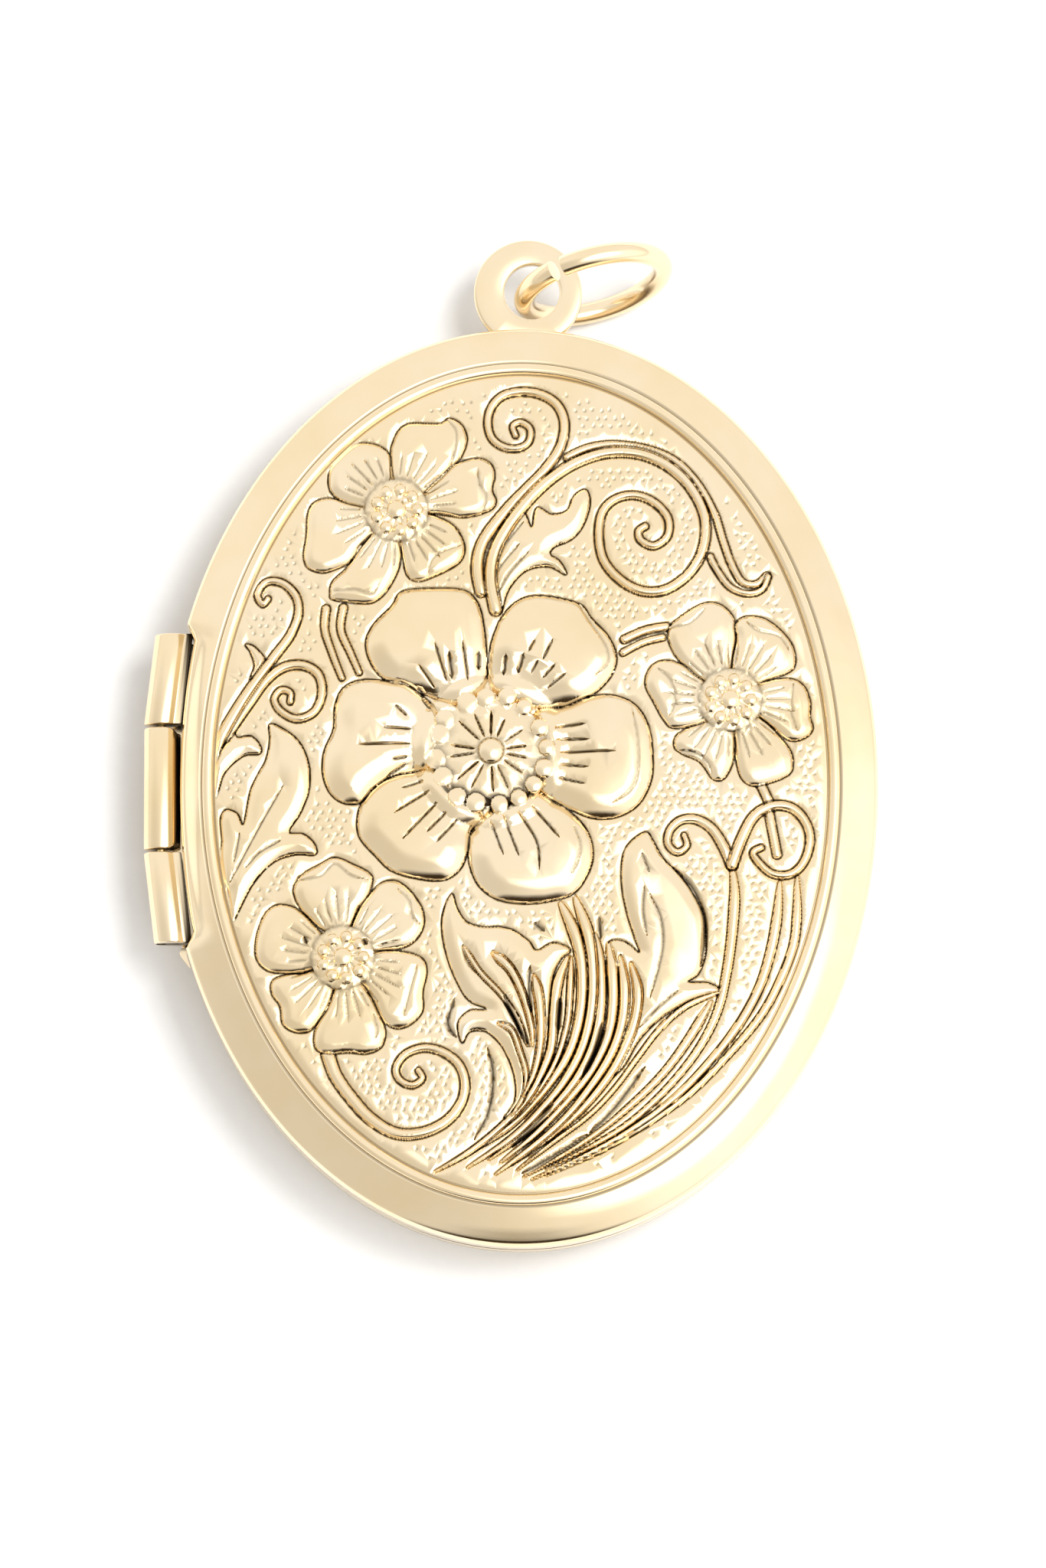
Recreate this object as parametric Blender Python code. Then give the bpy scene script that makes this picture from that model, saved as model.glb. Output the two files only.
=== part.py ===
"""An oval hinged locket, shut and lying on its back.

The origin is the middle of the back's flat face. +Z points out of the front cover, +Y to the
bail at the top, and the hinge is on the -X side. Sizes below are in millimetres, and skin()
turns them into metres. A ring() is one closed line round the oval, given as how far it lies
inside the outline, how far it lies from the parting plane, and how much of the hinge seat's
inset it takes. Every hollow piece is a chain of such rings.
"""

import math

import bmesh
import bpy

MM = 0.001

# The two halves
HALF_WIDTH = 13.5
HALF_HEIGHT = 17.5
THICKNESS = 6.2
PARTING = THICKNESS / 2
SHEET = 0.4
RIM_GAP = 0.05
WALL_HEIGHT = 1.0

# The seat that both side walls are pressed in to, to make room for the hinge
SEAT_HALF_LENGTH = 6.15
SEAT_FILLET = 0.4
SEAT_DEPTH = 0.63
SEAT_EASE = 0.23

# The three knuckles, which follow the curve of the edge while the pin stays straight
PIN_X = -13.6
PIN_RADIUS = 0.15
PIN_EASE = 0.04
BORE_RADIUS = 0.18
KNUCKLE_RADIUS = 0.67
KNUCKLE_LEAN = 0.4
HINGE_HALF_LENGTH = 5.9
MIDDLE_HALF_LENGTH = 2.32
KNUCKLE_GAP = 0.12
OUTER_LEAF_REACH = 0.77
MIDDLE_LEAF_REACH = 0.71
LEAF_LOW = 0.08
LEAF_HIGH = 0.5
BEARER_SHEET = 0.4
BEARER_LOW, BEARER_HIGH = 0.73, 1.15
BEARER_TOP = 5.8
BEARER_TIP = -6.75
BEARER_TAPER = 0.95

# The snap bezel in the back half, and the frame, window and card in each half
SLIDE_GAP = 0.05
BEZEL_SHEET = 0.32
BEZEL_STANDS = 0.8
BEZEL_SUNK = 0.85
FRAME_OUTER = 1.05
FRAME_INNER = 2.7
CARD_INSET = 2.4
CARD_SHEET = 0.2
WINDOW_SHEET = 0.25
STACK_GAP = 0.04

# The nail slot, a shallow dip in the back's rim across from the hinge
NAIL_SLOT_DEPTH = 0.3
NAIL_SLOT_HALF_LENGTH = 3.0

# The bail and the jump ring
BAIL_X, BAIL_Y = 0.27, 19.1
BAIL_RADIUS = 2.06
EYE_X, EYE_Y = 0.42, 19.15
EYE_RADIUS = 1.05
BAIL_SHEET = 0.5
BAIL_EDGE = 0.1
BAIL_Z = 2.73
SOLDER_GAP = 0.03
RING_RADIUS = 2.71
RING_WIRE = 0.4
RING_TURN = math.radians(14.5)
RING_LEAN = math.radians(12.5)
RING_CUT_AT = math.radians(117)
RING_CUT = math.radians(9)
RING_X, RING_Y, RING_Z = 2.76, 19.42, 3.07

UNIFORM_STEPS = 64
RING_STEPS = 44
KNUCKLE_STEPS = 20


def turn_angles():
    """Angles round the oval: even ones, and a few more where the hinge seat's ends curve."""
    angles = {round(math.tau * i / UNIFORM_STEPS, 6) for i in range(UNIFORM_STEPS)}
    for share in (-1.0, -0.6, -0.2, 0.2):
        lift = math.asin((SEAT_HALF_LENGTH + share * SEAT_FILLET) / HALF_HEIGHT)
        angles |= {math.pi - lift, math.pi + lift}
    return sorted(angles)


TURN = turn_angles()


def seat_depth(turn):
    """How far the side wall is pressed in at this angle for the hinge."""
    if math.cos(turn) > 0:
        return 0.0
    along = abs(HALF_HEIGHT * math.sin(turn))
    share = min(1.0, max(0.0, (SEAT_HALF_LENGTH - along) / SEAT_FILLET))
    smooth = share * share * (3 - 2 * share)
    return smooth * (SEAT_DEPTH - SEAT_EASE * (along / SEAT_HALF_LENGTH) ** 2)


def oval_point(turn, inset, seat):
    """A point inset from the outline, and by that share of the hinge seat's depth as well."""
    across, up = math.cos(turn) / HALF_WIDTH, math.sin(turn) / HALF_HEIGHT
    inward = (inset + seat * seat_depth(turn)) / math.hypot(across, up)
    x = HALF_WIDTH * math.cos(turn) - across * inward
    y = HALF_HEIGHT * math.sin(turn) - up * inward
    return x, y


def ring(inset, height, seat=0.0, side=1):
    """A line round the oval, height from the parting plane: up if side is 1, down if it is -1."""
    z = PARTING + side * height
    return [(*oval_point(turn, inset, seat), z) for turn in TURN]


def shrunk(loop, share, height, side=1):
    """The same line, drawn in towards the middle and moved to another height."""
    return [(x * share, y * share, PARTING + side * height) for x, y, _ in loop]


def material(name, colour, metallic, roughness):
    made = bpy.data.materials.new(name)
    made.use_nodes = True
    shader = made.node_tree.nodes["Principled BSDF"]
    shader.inputs["Base Color"].default_value = colour
    shader.inputs["Metallic"].default_value = metallic
    shader.inputs["Roughness"].default_value = roughness
    return made


GOLD = material("polished_gold", (0.93, 0.72, 0.40, 1), 1.0, 0.12)
SATIN_GOLD = material("satin_gold", (0.90, 0.68, 0.37, 1), 1.0, 0.25)
CLEAR = material("clear_acetate", (0.93, 0.94, 0.92, 1), 0.0, 0.05)
CARD = material("cream_card", (0.86, 0.80, 0.68, 1), 0.0, 0.8)


def skin(name, loops, paint, ends=None):
    """A closed solid through loops of equal length. With ends, the heights of two middle
    points, it is capped at both ends; without, the last loop joins the first."""
    bm = bmesh.new()
    rows = [[bm.verts.new([c * MM for c in point]) for point in loop] for loop in loops]
    count = len(rows[0])
    pairs = list(zip(rows, rows[1:] if ends else rows[1:] + rows[:1]))
    for near, far in pairs:
        for i in range(count):
            j = (i + 1) % count
            bm.faces.new((near[i], near[j], far[j], far[i]))
    for row, middle in zip((rows[0], rows[-1]), ends or ()):
        tip = bm.verts.new([c * MM for c in middle])
        for i in range(count):
            bm.faces.new((row[i], row[(i + 1) % count], tip))
    bmesh.ops.recalc_face_normals(bm, faces=bm.faces)
    mesh = bpy.data.meshes.new(name)
    bm.to_mesh(mesh)
    bm.free()
    mesh.shade_smooth()
    mesh.set_sharp_from_angle(angle=math.radians(35))
    mesh.materials.append(paint)
    made = bpy.data.objects.new(name, mesh)
    bpy.context.scene.collection.objects.link(made)
    return made


def middle(height, side=1):
    return (0.0, 0.0, PARTING + side * height)


def front_shell():
    """The cover: side wall, rounded border, a raised bead and a domed panel."""
    inside = [
        ring(SHEET, RIM_GAP, 1),
        ring(SHEET, 0.85, 1),
        ring(0.62, 1.05, 0.8),
        ring(1.45, 1.52),
    ]
    inside += [shrunk(inside[-1], 0.5, 1.92)]
    border = [
        ring(0, RIM_GAP, 1),
        ring(0, WALL_HEIGHT, 1),
        ring(0.08, 1.2, 1),
        ring(0.3, 1.36, 0.9),
        ring(0.8, 1.66, 0.5),
        ring(1.35, 1.9),
    ]
    bead = [ring(1.42, 1.95), ring(1.6, 2.1), ring(1.78, 1.95)]
    panel = [ring(1.95, 1.9)]
    panel += [shrunk(panel[0], share, 2.42 - 0.52 * share**2) for share in (0.75, 0.5)]
    loops = inside[::-1] + border + bead + panel
    return skin("front_shell", loops, GOLD, (middle(2.08), middle(2.42)))


def nail_slot(turn):
    """How far the back's rim dips here, opposite the hinge."""
    if math.cos(turn) < 0:
        return 0.0
    share = abs(HALF_HEIGHT * math.sin(turn)) / NAIL_SLOT_HALF_LENGTH
    return NAIL_SLOT_DEPTH * max(0.0, 1 - share**2)


def dipped(loop):
    return [(x, y, z - nail_slot(turn)) for (x, y, z), turn in zip(loop, TURN)]


def back_shell():
    """The plain back half, flat in the middle so that the locket lies steady."""
    inside = [
        dipped(ring(SHEET, RIM_GAP, 1, -1)),
        ring(SHEET, 0.95, 1, -1),
        ring(1.5, 1.58, 0, -1),
        ring(3.0, 2.33, 0, -1),
        ring(4.5, 2.7, 0, -1),
    ]
    outside = [
        dipped(ring(0, RIM_GAP, 1, -1)),
        ring(0, WALL_HEIGHT, 1, -1),
        ring(0.08, 1.2, 1, -1),
        ring(0.3, 1.38, 0.9, -1),
        ring(1.35, 2.02, 0, -1),
        ring(3.0, 2.74, 0, -1),
        ring(4.6, PARTING, 0, -1),
    ]
    loops = inside[::-1] + outside
    return skin("back_shell", loops, GOLD, (middle(2.7, -1), middle(PARTING, -1)))


def snap_bezel():
    """The springy lip fixed inside the back's wall, which the cover's wall snaps over."""
    near = SHEET + SLIDE_GAP
    far = near + BEZEL_SHEET
    loops = [
        ring(near, BEZEL_SUNK, 1, -1),
        ring(near, BEZEL_STANDS - 0.12, 1),
        ring(near + 0.1, BEZEL_STANDS, 1),
        ring(far, BEZEL_STANDS, 1),
        ring(far, BEZEL_SUNK, 1, -1),
    ]
    return skin("snap_bezel", loops, SATIN_GOLD)


def photo_frame(name, side, lip):
    """A sloping ring that holds the window and the card down. lip is its foot's height."""
    loops = [
        ring(FRAME_OUTER, 0.5, 1, side),
        ring(FRAME_OUTER, 0.2, 1, side),
        ring(FRAME_OUTER + 0.35, 0.12, 0.8, side),
        ring(FRAME_INNER, lip - 0.22, 0, side),
        ring(FRAME_INNER, lip, 0, side),
        ring(FRAME_INNER - 0.28, lip, 0, side),
    ]
    return skin(name, loops, GOLD)


def flat_oval(name, inset, low, sheet, side, paint):
    """A thin flat oval, low and low + sheet from the parting plane."""
    loops = [ring(inset, low, 0, side), ring(inset, low + sheet, 0, side)]
    return skin(name, loops, paint, (middle(low, side), middle(low + sheet, side)))


def photo_holder(half, side, lip):
    """Frame, clear window and blank card of one half, stacked with a hair's gap."""
    photo_frame(f"{half}_photo_frame", side, lip)
    window = lip + STACK_GAP
    card = window + WINDOW_SHEET + STACK_GAP
    flat_oval(f"{half}_window", CARD_INSET, window, WINDOW_SHEET, side, CLEAR)
    flat_oval(f"{half}_photo_card", CARD_INSET + 0.1, card, CARD_SHEET, side, CARD)


def knuckle_outline(leaf_side, leaf_reach):
    """A knuckle's section about the pin: a round with a leaf to its half of the locket."""
    low, high = LEAF_LOW * leaf_side, LEAF_HIGH * leaf_side
    corners = [(leaf_reach, low), (leaf_reach, high)]
    start = math.asin(LEAF_HIGH / KNUCKLE_RADIUS)
    stop = math.tau - 0.12
    steps = range(KNUCKLE_STEPS)
    sweep = [start + (stop - start) * i / (KNUCKLE_STEPS - 1) for i in steps]
    round_part = [
        (KNUCKLE_RADIUS * math.cos(a), KNUCKLE_RADIUS * math.sin(a) * leaf_side) for a in sweep
    ]
    return round_part + corners


def knuckle_loops(outline, lean, y):
    """The outer line and the bore's line across a knuckle at y, leant over by lean."""
    outer = [(PIN_X + x + lean, y, PARTING + z) for x, z in outline]
    bore = []
    for x, z in outline:
        angle = math.atan2(z, x + lean)
        bore_x = PIN_X + BORE_RADIUS * math.cos(angle)
        bore.append((bore_x, y, PARTING + BORE_RADIUS * math.sin(angle)))
    return outer, bore


def knuckle(name, leaf_side, leaf_reach, ends):
    """ends holds (y, lean) for one end of the knuckle and then the other."""
    outline = knuckle_outline(leaf_side, leaf_reach)
    (near_outer, near_bore), (far_outer, far_bore) = (
        knuckle_loops(outline, lean, y) for y, lean in ends
    )
    return skin(name, [near_outer, far_outer, far_bore, near_bore], GOLD)


def hinge():
    """Two outer knuckles on the cover, the middle one on the back, and the pin."""
    inner_end = MIDDLE_HALF_LENGTH + KNUCKLE_GAP
    outer_ends = [(inner_end, 0.0), (HINGE_HALF_LENGTH, KNUCKLE_LEAN)]
    lower_ends = [(-y, lean) for y, lean in outer_ends]
    middle_ends = [(-MIDDLE_HALF_LENGTH, 0.0), (MIDDLE_HALF_LENGTH, 0.0)]
    knuckle("hinge_knuckle_upper", 1, OUTER_LEAF_REACH, outer_ends)
    knuckle("hinge_knuckle_lower", 1, OUTER_LEAF_REACH, lower_ends)
    knuckle("hinge_knuckle_middle", -1, MIDDLE_LEAF_REACH, middle_ends)


def hinge_bearer():
    """The strip along the back's wall under the knuckles, drawn out to a point at its foot."""
    high, low = PARTING - BEARER_LOW, PARTING - BEARER_HIGH
    loops = []
    for turn in TURN:
        along = HALF_HEIGHT * math.sin(turn)
        if math.cos(turn) > 0 or not BEARER_TIP < along < BEARER_TOP:
            continue
        sheet = BEARER_SHEET * min(1.0, (along - BEARER_TIP) / BEARER_TAPER)
        x, y = oval_point(turn, -SOLDER_GAP, 1)
        far_x, far_y = oval_point(turn, -SOLDER_GAP - sheet, 1)
        loops.append([(x, y, low), (x, y, high), (far_x, far_y, high), (far_x, far_y, low)])
    middles = [[sum(c) / 4 for c in zip(*loop)] for loop in (loops[0], loops[-1])]
    return skin("hinge_bearer", loops, GOLD, middles)


def round_loop(radius, y):
    """A circle about the pin's line."""
    angles = [math.tau * i / 16 for i in range(16)]
    return [(PIN_X + radius * math.cos(a), y, PARTING + radius * math.sin(a)) for a in angles]


def hinge_pin():
    """A straight wire with eased ends, filed flush with the outer knuckles."""
    tip = HINGE_HALF_LENGTH - 0.02
    shape = [(PIN_RADIUS - PIN_EASE, -tip), (PIN_RADIUS, PIN_EASE - tip)]
    shape += [(radius, -y) for radius, y in reversed(shape)]
    loops = [round_loop(radius, y) for radius, y in shape]
    return skin("hinge_pin", loops, SATIN_GOLD, ((PIN_X, -tip, PARTING), (PIN_X, tip, PARTING)))


def reach_to_circle(cos_a, sin_a):
    """From the eye's middle to the bail's round outline, in this direction."""
    x, y = EYE_X - BAIL_X, EYE_Y - BAIL_Y
    along = x * cos_a + y * sin_a
    return -along + math.sqrt(along**2 + BAIL_RADIUS**2 - x * x - y * y)


def reach_to_oval(cos_a, sin_a):
    """From the eye's middle to the locket's side wall in this direction, if it gets there."""
    a, b = HALF_WIDTH + SOLDER_GAP, HALF_HEIGHT + SOLDER_GAP
    square = (cos_a / a) ** 2 + (sin_a / b) ** 2
    half = EYE_X * cos_a / a**2 + EYE_Y * sin_a / b**2
    rest = (EYE_X / a) ** 2 + (EYE_Y / b) ** 2 - 1
    inner = half**2 - square * rest
    if inner < 0 or half > 0:
        return math.inf
    return (-half - math.sqrt(inner)) / square


def bail():
    """A flat eye soldered to the back's wall, with its edges eased."""
    angles = [math.tau * i / 40 for i in range(40)]
    outer, bore = [], []
    for a in angles:
        reach = min(reach_to_circle(math.cos(a), math.sin(a)), reach_to_oval(math.cos(a), math.sin(a)))
        outer.append(reach)
        bore.append(EYE_RADIUS)

    def loop(reaches, inset, z):
        points = zip(reaches, angles)
        return [
            (EYE_X + (r - inset) * math.cos(a), EYE_Y + (r - inset) * math.sin(a), BAIL_Z + z)
            for r, a in points
        ]

    half = BAIL_SHEET / 2
    side = half - BAIL_EDGE
    loops = [
        loop(outer, BAIL_EDGE, half),
        loop(outer, 0, side),
        loop(outer, 0, -side),
        loop(outer, BAIL_EDGE, -half),
        loop(bore, -BAIL_EDGE, -half),
        loop(bore, 0, -side),
        loop(bore, 0, side),
        loop(bore, -BAIL_EDGE, half),
    ]
    return skin("bail", loops, GOLD)


def jump_ring():
    """Round wire bent to a ring through the eye, its two cut ends just apart."""
    along = (math.cos(RING_TURN), math.sin(RING_TURN), 0.0)
    lean, rise = math.sin(RING_LEAN), math.cos(RING_LEAN)
    up = (-along[1] * lean, along[0] * lean, rise)
    centre = (RING_X, RING_Y, RING_Z)
    curve = bpy.data.curves.new("jump_ring", "CURVE")
    curve.dimensions = "3D"
    curve.bevel_depth = RING_WIRE * MM
    curve.bevel_resolution = 3
    curve.use_fill_caps = True
    spline = curve.splines.new("POLY")
    spline.points.add(RING_STEPS - 1)
    start = RING_CUT_AT + RING_CUT / 2
    span = math.tau - RING_CUT
    for i, point in enumerate(spline.points):
        a = start + span * i / (RING_STEPS - 1)
        reach, climb = RING_RADIUS * math.cos(a), RING_RADIUS * math.sin(a)
        place = [c + reach * p + climb * q for c, p, q in zip(centre, along, up)]
        point.co = (*[c * MM for c in place], 1)
    curve.materials.append(GOLD)
    made = bpy.data.objects.new("jump_ring", curve)
    bpy.context.scene.collection.objects.link(made)
    return made


def main():
    for leftover in list(bpy.data.objects):
        bpy.data.objects.remove(leftover)
    front_shell()
    back_shell()
    snap_bezel()
    photo_holder("front", 1, 0.95)
    photo_holder("back", -1, 1.45)
    hinge()
    hinge_bearer()
    hinge_pin()
    bail()
    jump_ring()


main()
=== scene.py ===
"""An oval hinged locket on a white studio floor, put together piece by piece round its CAD frame.

The frame gives the size, the parting plane between the two halves, and the hinge. Sizes below are
in millimetres unless a name says otherwise, and MM turns them into Blender's metres.
"""

import math

import bmesh
import bpy
import numpy as np
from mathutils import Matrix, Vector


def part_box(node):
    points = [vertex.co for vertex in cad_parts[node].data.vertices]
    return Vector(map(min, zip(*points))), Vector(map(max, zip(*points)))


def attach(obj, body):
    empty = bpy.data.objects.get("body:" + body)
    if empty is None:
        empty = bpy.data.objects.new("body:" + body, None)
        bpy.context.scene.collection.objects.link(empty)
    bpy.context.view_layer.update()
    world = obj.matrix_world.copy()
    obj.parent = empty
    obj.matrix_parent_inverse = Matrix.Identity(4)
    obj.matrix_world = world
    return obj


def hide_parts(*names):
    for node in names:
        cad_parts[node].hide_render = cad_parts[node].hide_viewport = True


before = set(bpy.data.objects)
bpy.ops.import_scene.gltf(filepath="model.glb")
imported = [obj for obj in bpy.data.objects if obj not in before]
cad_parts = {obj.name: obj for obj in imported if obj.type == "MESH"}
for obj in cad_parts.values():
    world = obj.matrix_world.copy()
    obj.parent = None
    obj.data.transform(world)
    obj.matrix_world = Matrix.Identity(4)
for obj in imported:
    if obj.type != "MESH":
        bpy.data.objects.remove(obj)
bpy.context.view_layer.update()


# Back shell
# The plain half, drawn in a press from gold-filled brass sheet to a shallow tray with a flat
# middle. Its side wall is pressed in for the hinge, and its rim dips a little for a fingernail.

MM = 0.001
PARTING = (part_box("hinge_pin")[0].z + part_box("hinge_pin")[1].z) / 2 / MM
HALF_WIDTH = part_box("front_shell")[1].x / MM
HALF_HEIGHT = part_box("front_shell")[1].y / MM
RIM_GAP = 0.05
SEAT_HALF_LENGTH = 6.15
SEAT_FILLET = 0.4
SEAT_DEPTH = 0.63
SEAT_EASE = 0.23
NAIL_SLOT_DEPTH = 0.3
NAIL_SLOT_HALF_LENGTH = 3.0
ROUND = 400
SHARP_ANGLE = math.radians(38)


def flowing(points, closed=False, steps=6):
    """A smooth line through the points, which may have any number of coordinates."""
    points = np.array(points, float)
    count = len(points)
    found = []
    for i in range(count if closed else count - 1):
        if closed:
            before, start, end, after = (points[(i + k) % count] for k in (-1, 0, 1, 2))
        else:
            before, start = points[max(i - 1, 0)], points[i]
            end, after = points[i + 1], points[min(i + 2, count - 1)]
        for t in np.arange(steps) / steps:
            swing = (end - before) * t + (2 * before - 5 * start + 4 * end - after) * t**2
            found.append(start + (swing + (3 * start - before - 3 * end + after) * t**3) / 2)
    if not closed:
        found.append(points[-1])
    return np.array(found)


def seat_depth(turn):
    """How far the side walls are pressed in at this angle, to make room for the hinge."""
    along = np.abs(HALF_HEIGHT * np.sin(turn))
    share = np.clip((SEAT_HALF_LENGTH - along) / SEAT_FILLET, 0, 1)
    eased = SEAT_DEPTH - SEAT_EASE * (along / SEAT_HALF_LENGTH) ** 2
    return np.where(np.cos(turn) > 0, 0, share * share * (3 - 2 * share) * eased)


def oval(turn, inset, seat=0.0):
    """A point inset from the locket's outline, and by that share of the hinge seat's depth."""
    across, up = np.cos(turn) / HALF_WIDTH, np.sin(turn) / HALF_HEIGHT
    inward = (inset + seat * seat_depth(turn)) / np.hypot(across, up)
    return HALF_WIDTH * np.cos(turn) - across * inward, HALF_HEIGHT * np.sin(turn) - up * inward


def start_shaping():
    """Deselects everything, so that the next primitive is all that is worked on."""
    bpy.ops.object.select_all(action="DESELECT")


def draw_up(name, count, rows, place, joined):
    """Draws a hollow piece up from a circle. The circle is extruded once for each row after the
    first, and place(turn, row) says where each row is pressed to and how dark it is painted as
    shade. The last row is joined to the first, or both are closed with a face, or left open."""
    start_shaping()
    bpy.ops.mesh.primitive_circle_add(vertices=count, radius=HALF_WIDTH * MM)
    piece = bpy.context.object
    piece.name = piece.data.name = name
    bpy.ops.object.mode_set(mode="EDIT")
    bpy.ops.mesh.select_mode(type="EDGE")
    bpy.ops.mesh.select_all(action="SELECT")
    shape = bmesh.from_edit_mesh(piece.data)
    shape.verts.layers.float.new("turn")
    shape.verts.layers.float.new("painted_shade")
    turn_layer = shape.verts.layers.float["turn"]
    for vert in shape.verts:
        vert[turn_layer] = math.atan2(vert.co.y, vert.co.x)
    for step, row in enumerate(rows):
        if step:
            bpy.ops.mesh.extrude_edges_move()
            shape = bmesh.from_edit_mesh(piece.data)
        turn_layer = shape.verts.layers.float["turn"]
        painted_shade_layer = shape.verts.layers.float["painted_shade"]
        picked = [vert for vert in shape.verts if vert.select]
        turns = np.array([vert[turn_layer] for vert in picked])
        places = np.column_stack(np.broadcast_arrays(*place(turns, row), turns))[:, :4]
        for vert, (*point, dark) in zip(picked, places):
            vert.co = np.array(point) * MM
            vert[painted_shade_layer] = dark
        bmesh.update_edit_mesh(piece.data)
    if joined is not None:
        bpy.ops.mesh.select_all(action="DESELECT")
        bpy.ops.mesh.select_non_manifold(extend=False)
        if joined:
            bpy.ops.mesh.bridge_edge_loops()
        else:
            bpy.ops.mesh.fill_holes(sides=0)
        bpy.ops.mesh.select_all(action="SELECT")
        bpy.ops.mesh.normals_make_consistent(inside=False)
    bpy.ops.object.mode_set(mode="OBJECT")
    piece.data.attributes.remove(piece.data.attributes["turn"])
    bpy.ops.object.shade_smooth_by_angle(angle=SHARP_ANGLE)
    return piece


# Where the wall behind the knuckles is painted dark as shade: how deep the seat, how near the outline
# and how low the point.
SEAT_SHADE_DEPTH, SEAT_SHADE_INSET, SEAT_SHADE_HEIGHT = 0.2, 0.09, 0.25


def seat_shadow(turn, inset, height):
    """Painted shade on the wall behind the knuckles, low by the parting, where shadow falls in the
    gap.
    """
    on_wall = (inset < SEAT_SHADE_INSET) & (height < SEAT_SHADE_HEIGHT)
    return np.where((seat_depth(turn) > SEAT_SHADE_DEPTH) & on_wall, 1.0, 0.0)


def up_side(turn, row):
    """Where a row of a piece in the cover goes. A row is (inset, height from the parting plane,
    share of the hinge seat) and may end with how dark it is painted as shade."""
    inset, height, seat, *dark = row
    darkness = np.maximum(dark[0] if dark else 0, seat_shadow(turn, inset, height))
    return *oval(turn, inset, seat), PARTING + height, darkness


def down_side(turn, row):
    """The same in the back half, where height is measured down from the parting plane."""
    inset, height, seat = row
    share = np.abs(HALF_HEIGHT * np.sin(turn)) / NAIL_SLOT_HALF_LENGTH
    dip = np.where((np.cos(turn) > 0) & (height == RIM_GAP), np.maximum(0, 1 - share**2), 0)
    height_here = PARTING - height - NAIL_SLOT_DEPTH * dip
    return *oval(turn, inset, seat), height_here, seat_shadow(turn, inset, height)


def linear(colour):
    """An sRGB hex colour as linear RGBA."""
    shares = [int(colour[i : i + 2], 16) / 255 for i in (1, 3, 5)]
    return (*[s / 12.92 if s <= 0.04045 else ((s + 0.055) / 1.055) ** 2.4 for s in shares], 1)


def add_node(material, kind, settings=None, inputs=None):
    """Adds a node with its settings. An input is a value, or the socket that feeds it."""
    made = material.node_tree.nodes.new(kind)
    for name, value in (settings or {}).items():
        setattr(made, name, value)
    for name, value in (inputs or {}).items():
        if isinstance(value, bpy.types.NodeSocket):
            material.node_tree.links.new(value, made.inputs[name])
        else:
            made.inputs[name].default_value = value
    return made


def new_material(name):
    """A material with its shader, and its place on the piece counted in millimetres."""
    material = bpy.data.materials.new(name)
    material.use_nodes = True
    place = add_node(material, "ShaderNodeTexCoord")
    in_mm = add_node(
        material,
        "ShaderNodeMapping",
        {"vector_type": "POINT"},
        {"Vector": place.outputs["Object"], "Scale": (1 / MM, 1 / MM, 1 / MM)},
    )
    return material, material.node_tree.nodes["Principled BSDF"], in_mm.outputs["Vector"]


def set_input(material, shader, name, value):
    """Gives a shader's input its value, or the socket that feeds it."""
    if isinstance(value, bpy.types.NodeSocket):
        material.node_tree.links.new(value, shader.inputs[name])
    else:
        shader.inputs[name].default_value = value


# Gold-filled brass, pressed and buffed on a soft wheel: a pale yellow mirror, slightly clouded,
# with a wave from the press and hairline wheel marks. The real marks are about 0.01 mm apart,
# too fine to show, and are drawn 0.12 mm apart. Creases are painted dark brown as shade.
BUFFED_GOLD = "#F7E4C3"
WARM_GOLD = "#F2DBB1"
CREASE_SHADE_BROWN = "#1C1003"
GOLD_ROUGHNESS, EMBOSSED_ROUGHNESS = 0.15, 0.11
CREASE_SHARPNESS, CREASE_DULLS = 1.2, 0.3
PLAIN_WAVE, EMBOSSED_WAVE = 0.02, 0.03
CLOUD_SIZE, WAVE_SIZE, MARK_SIZE = 5.0, 2.5, 0.12


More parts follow.
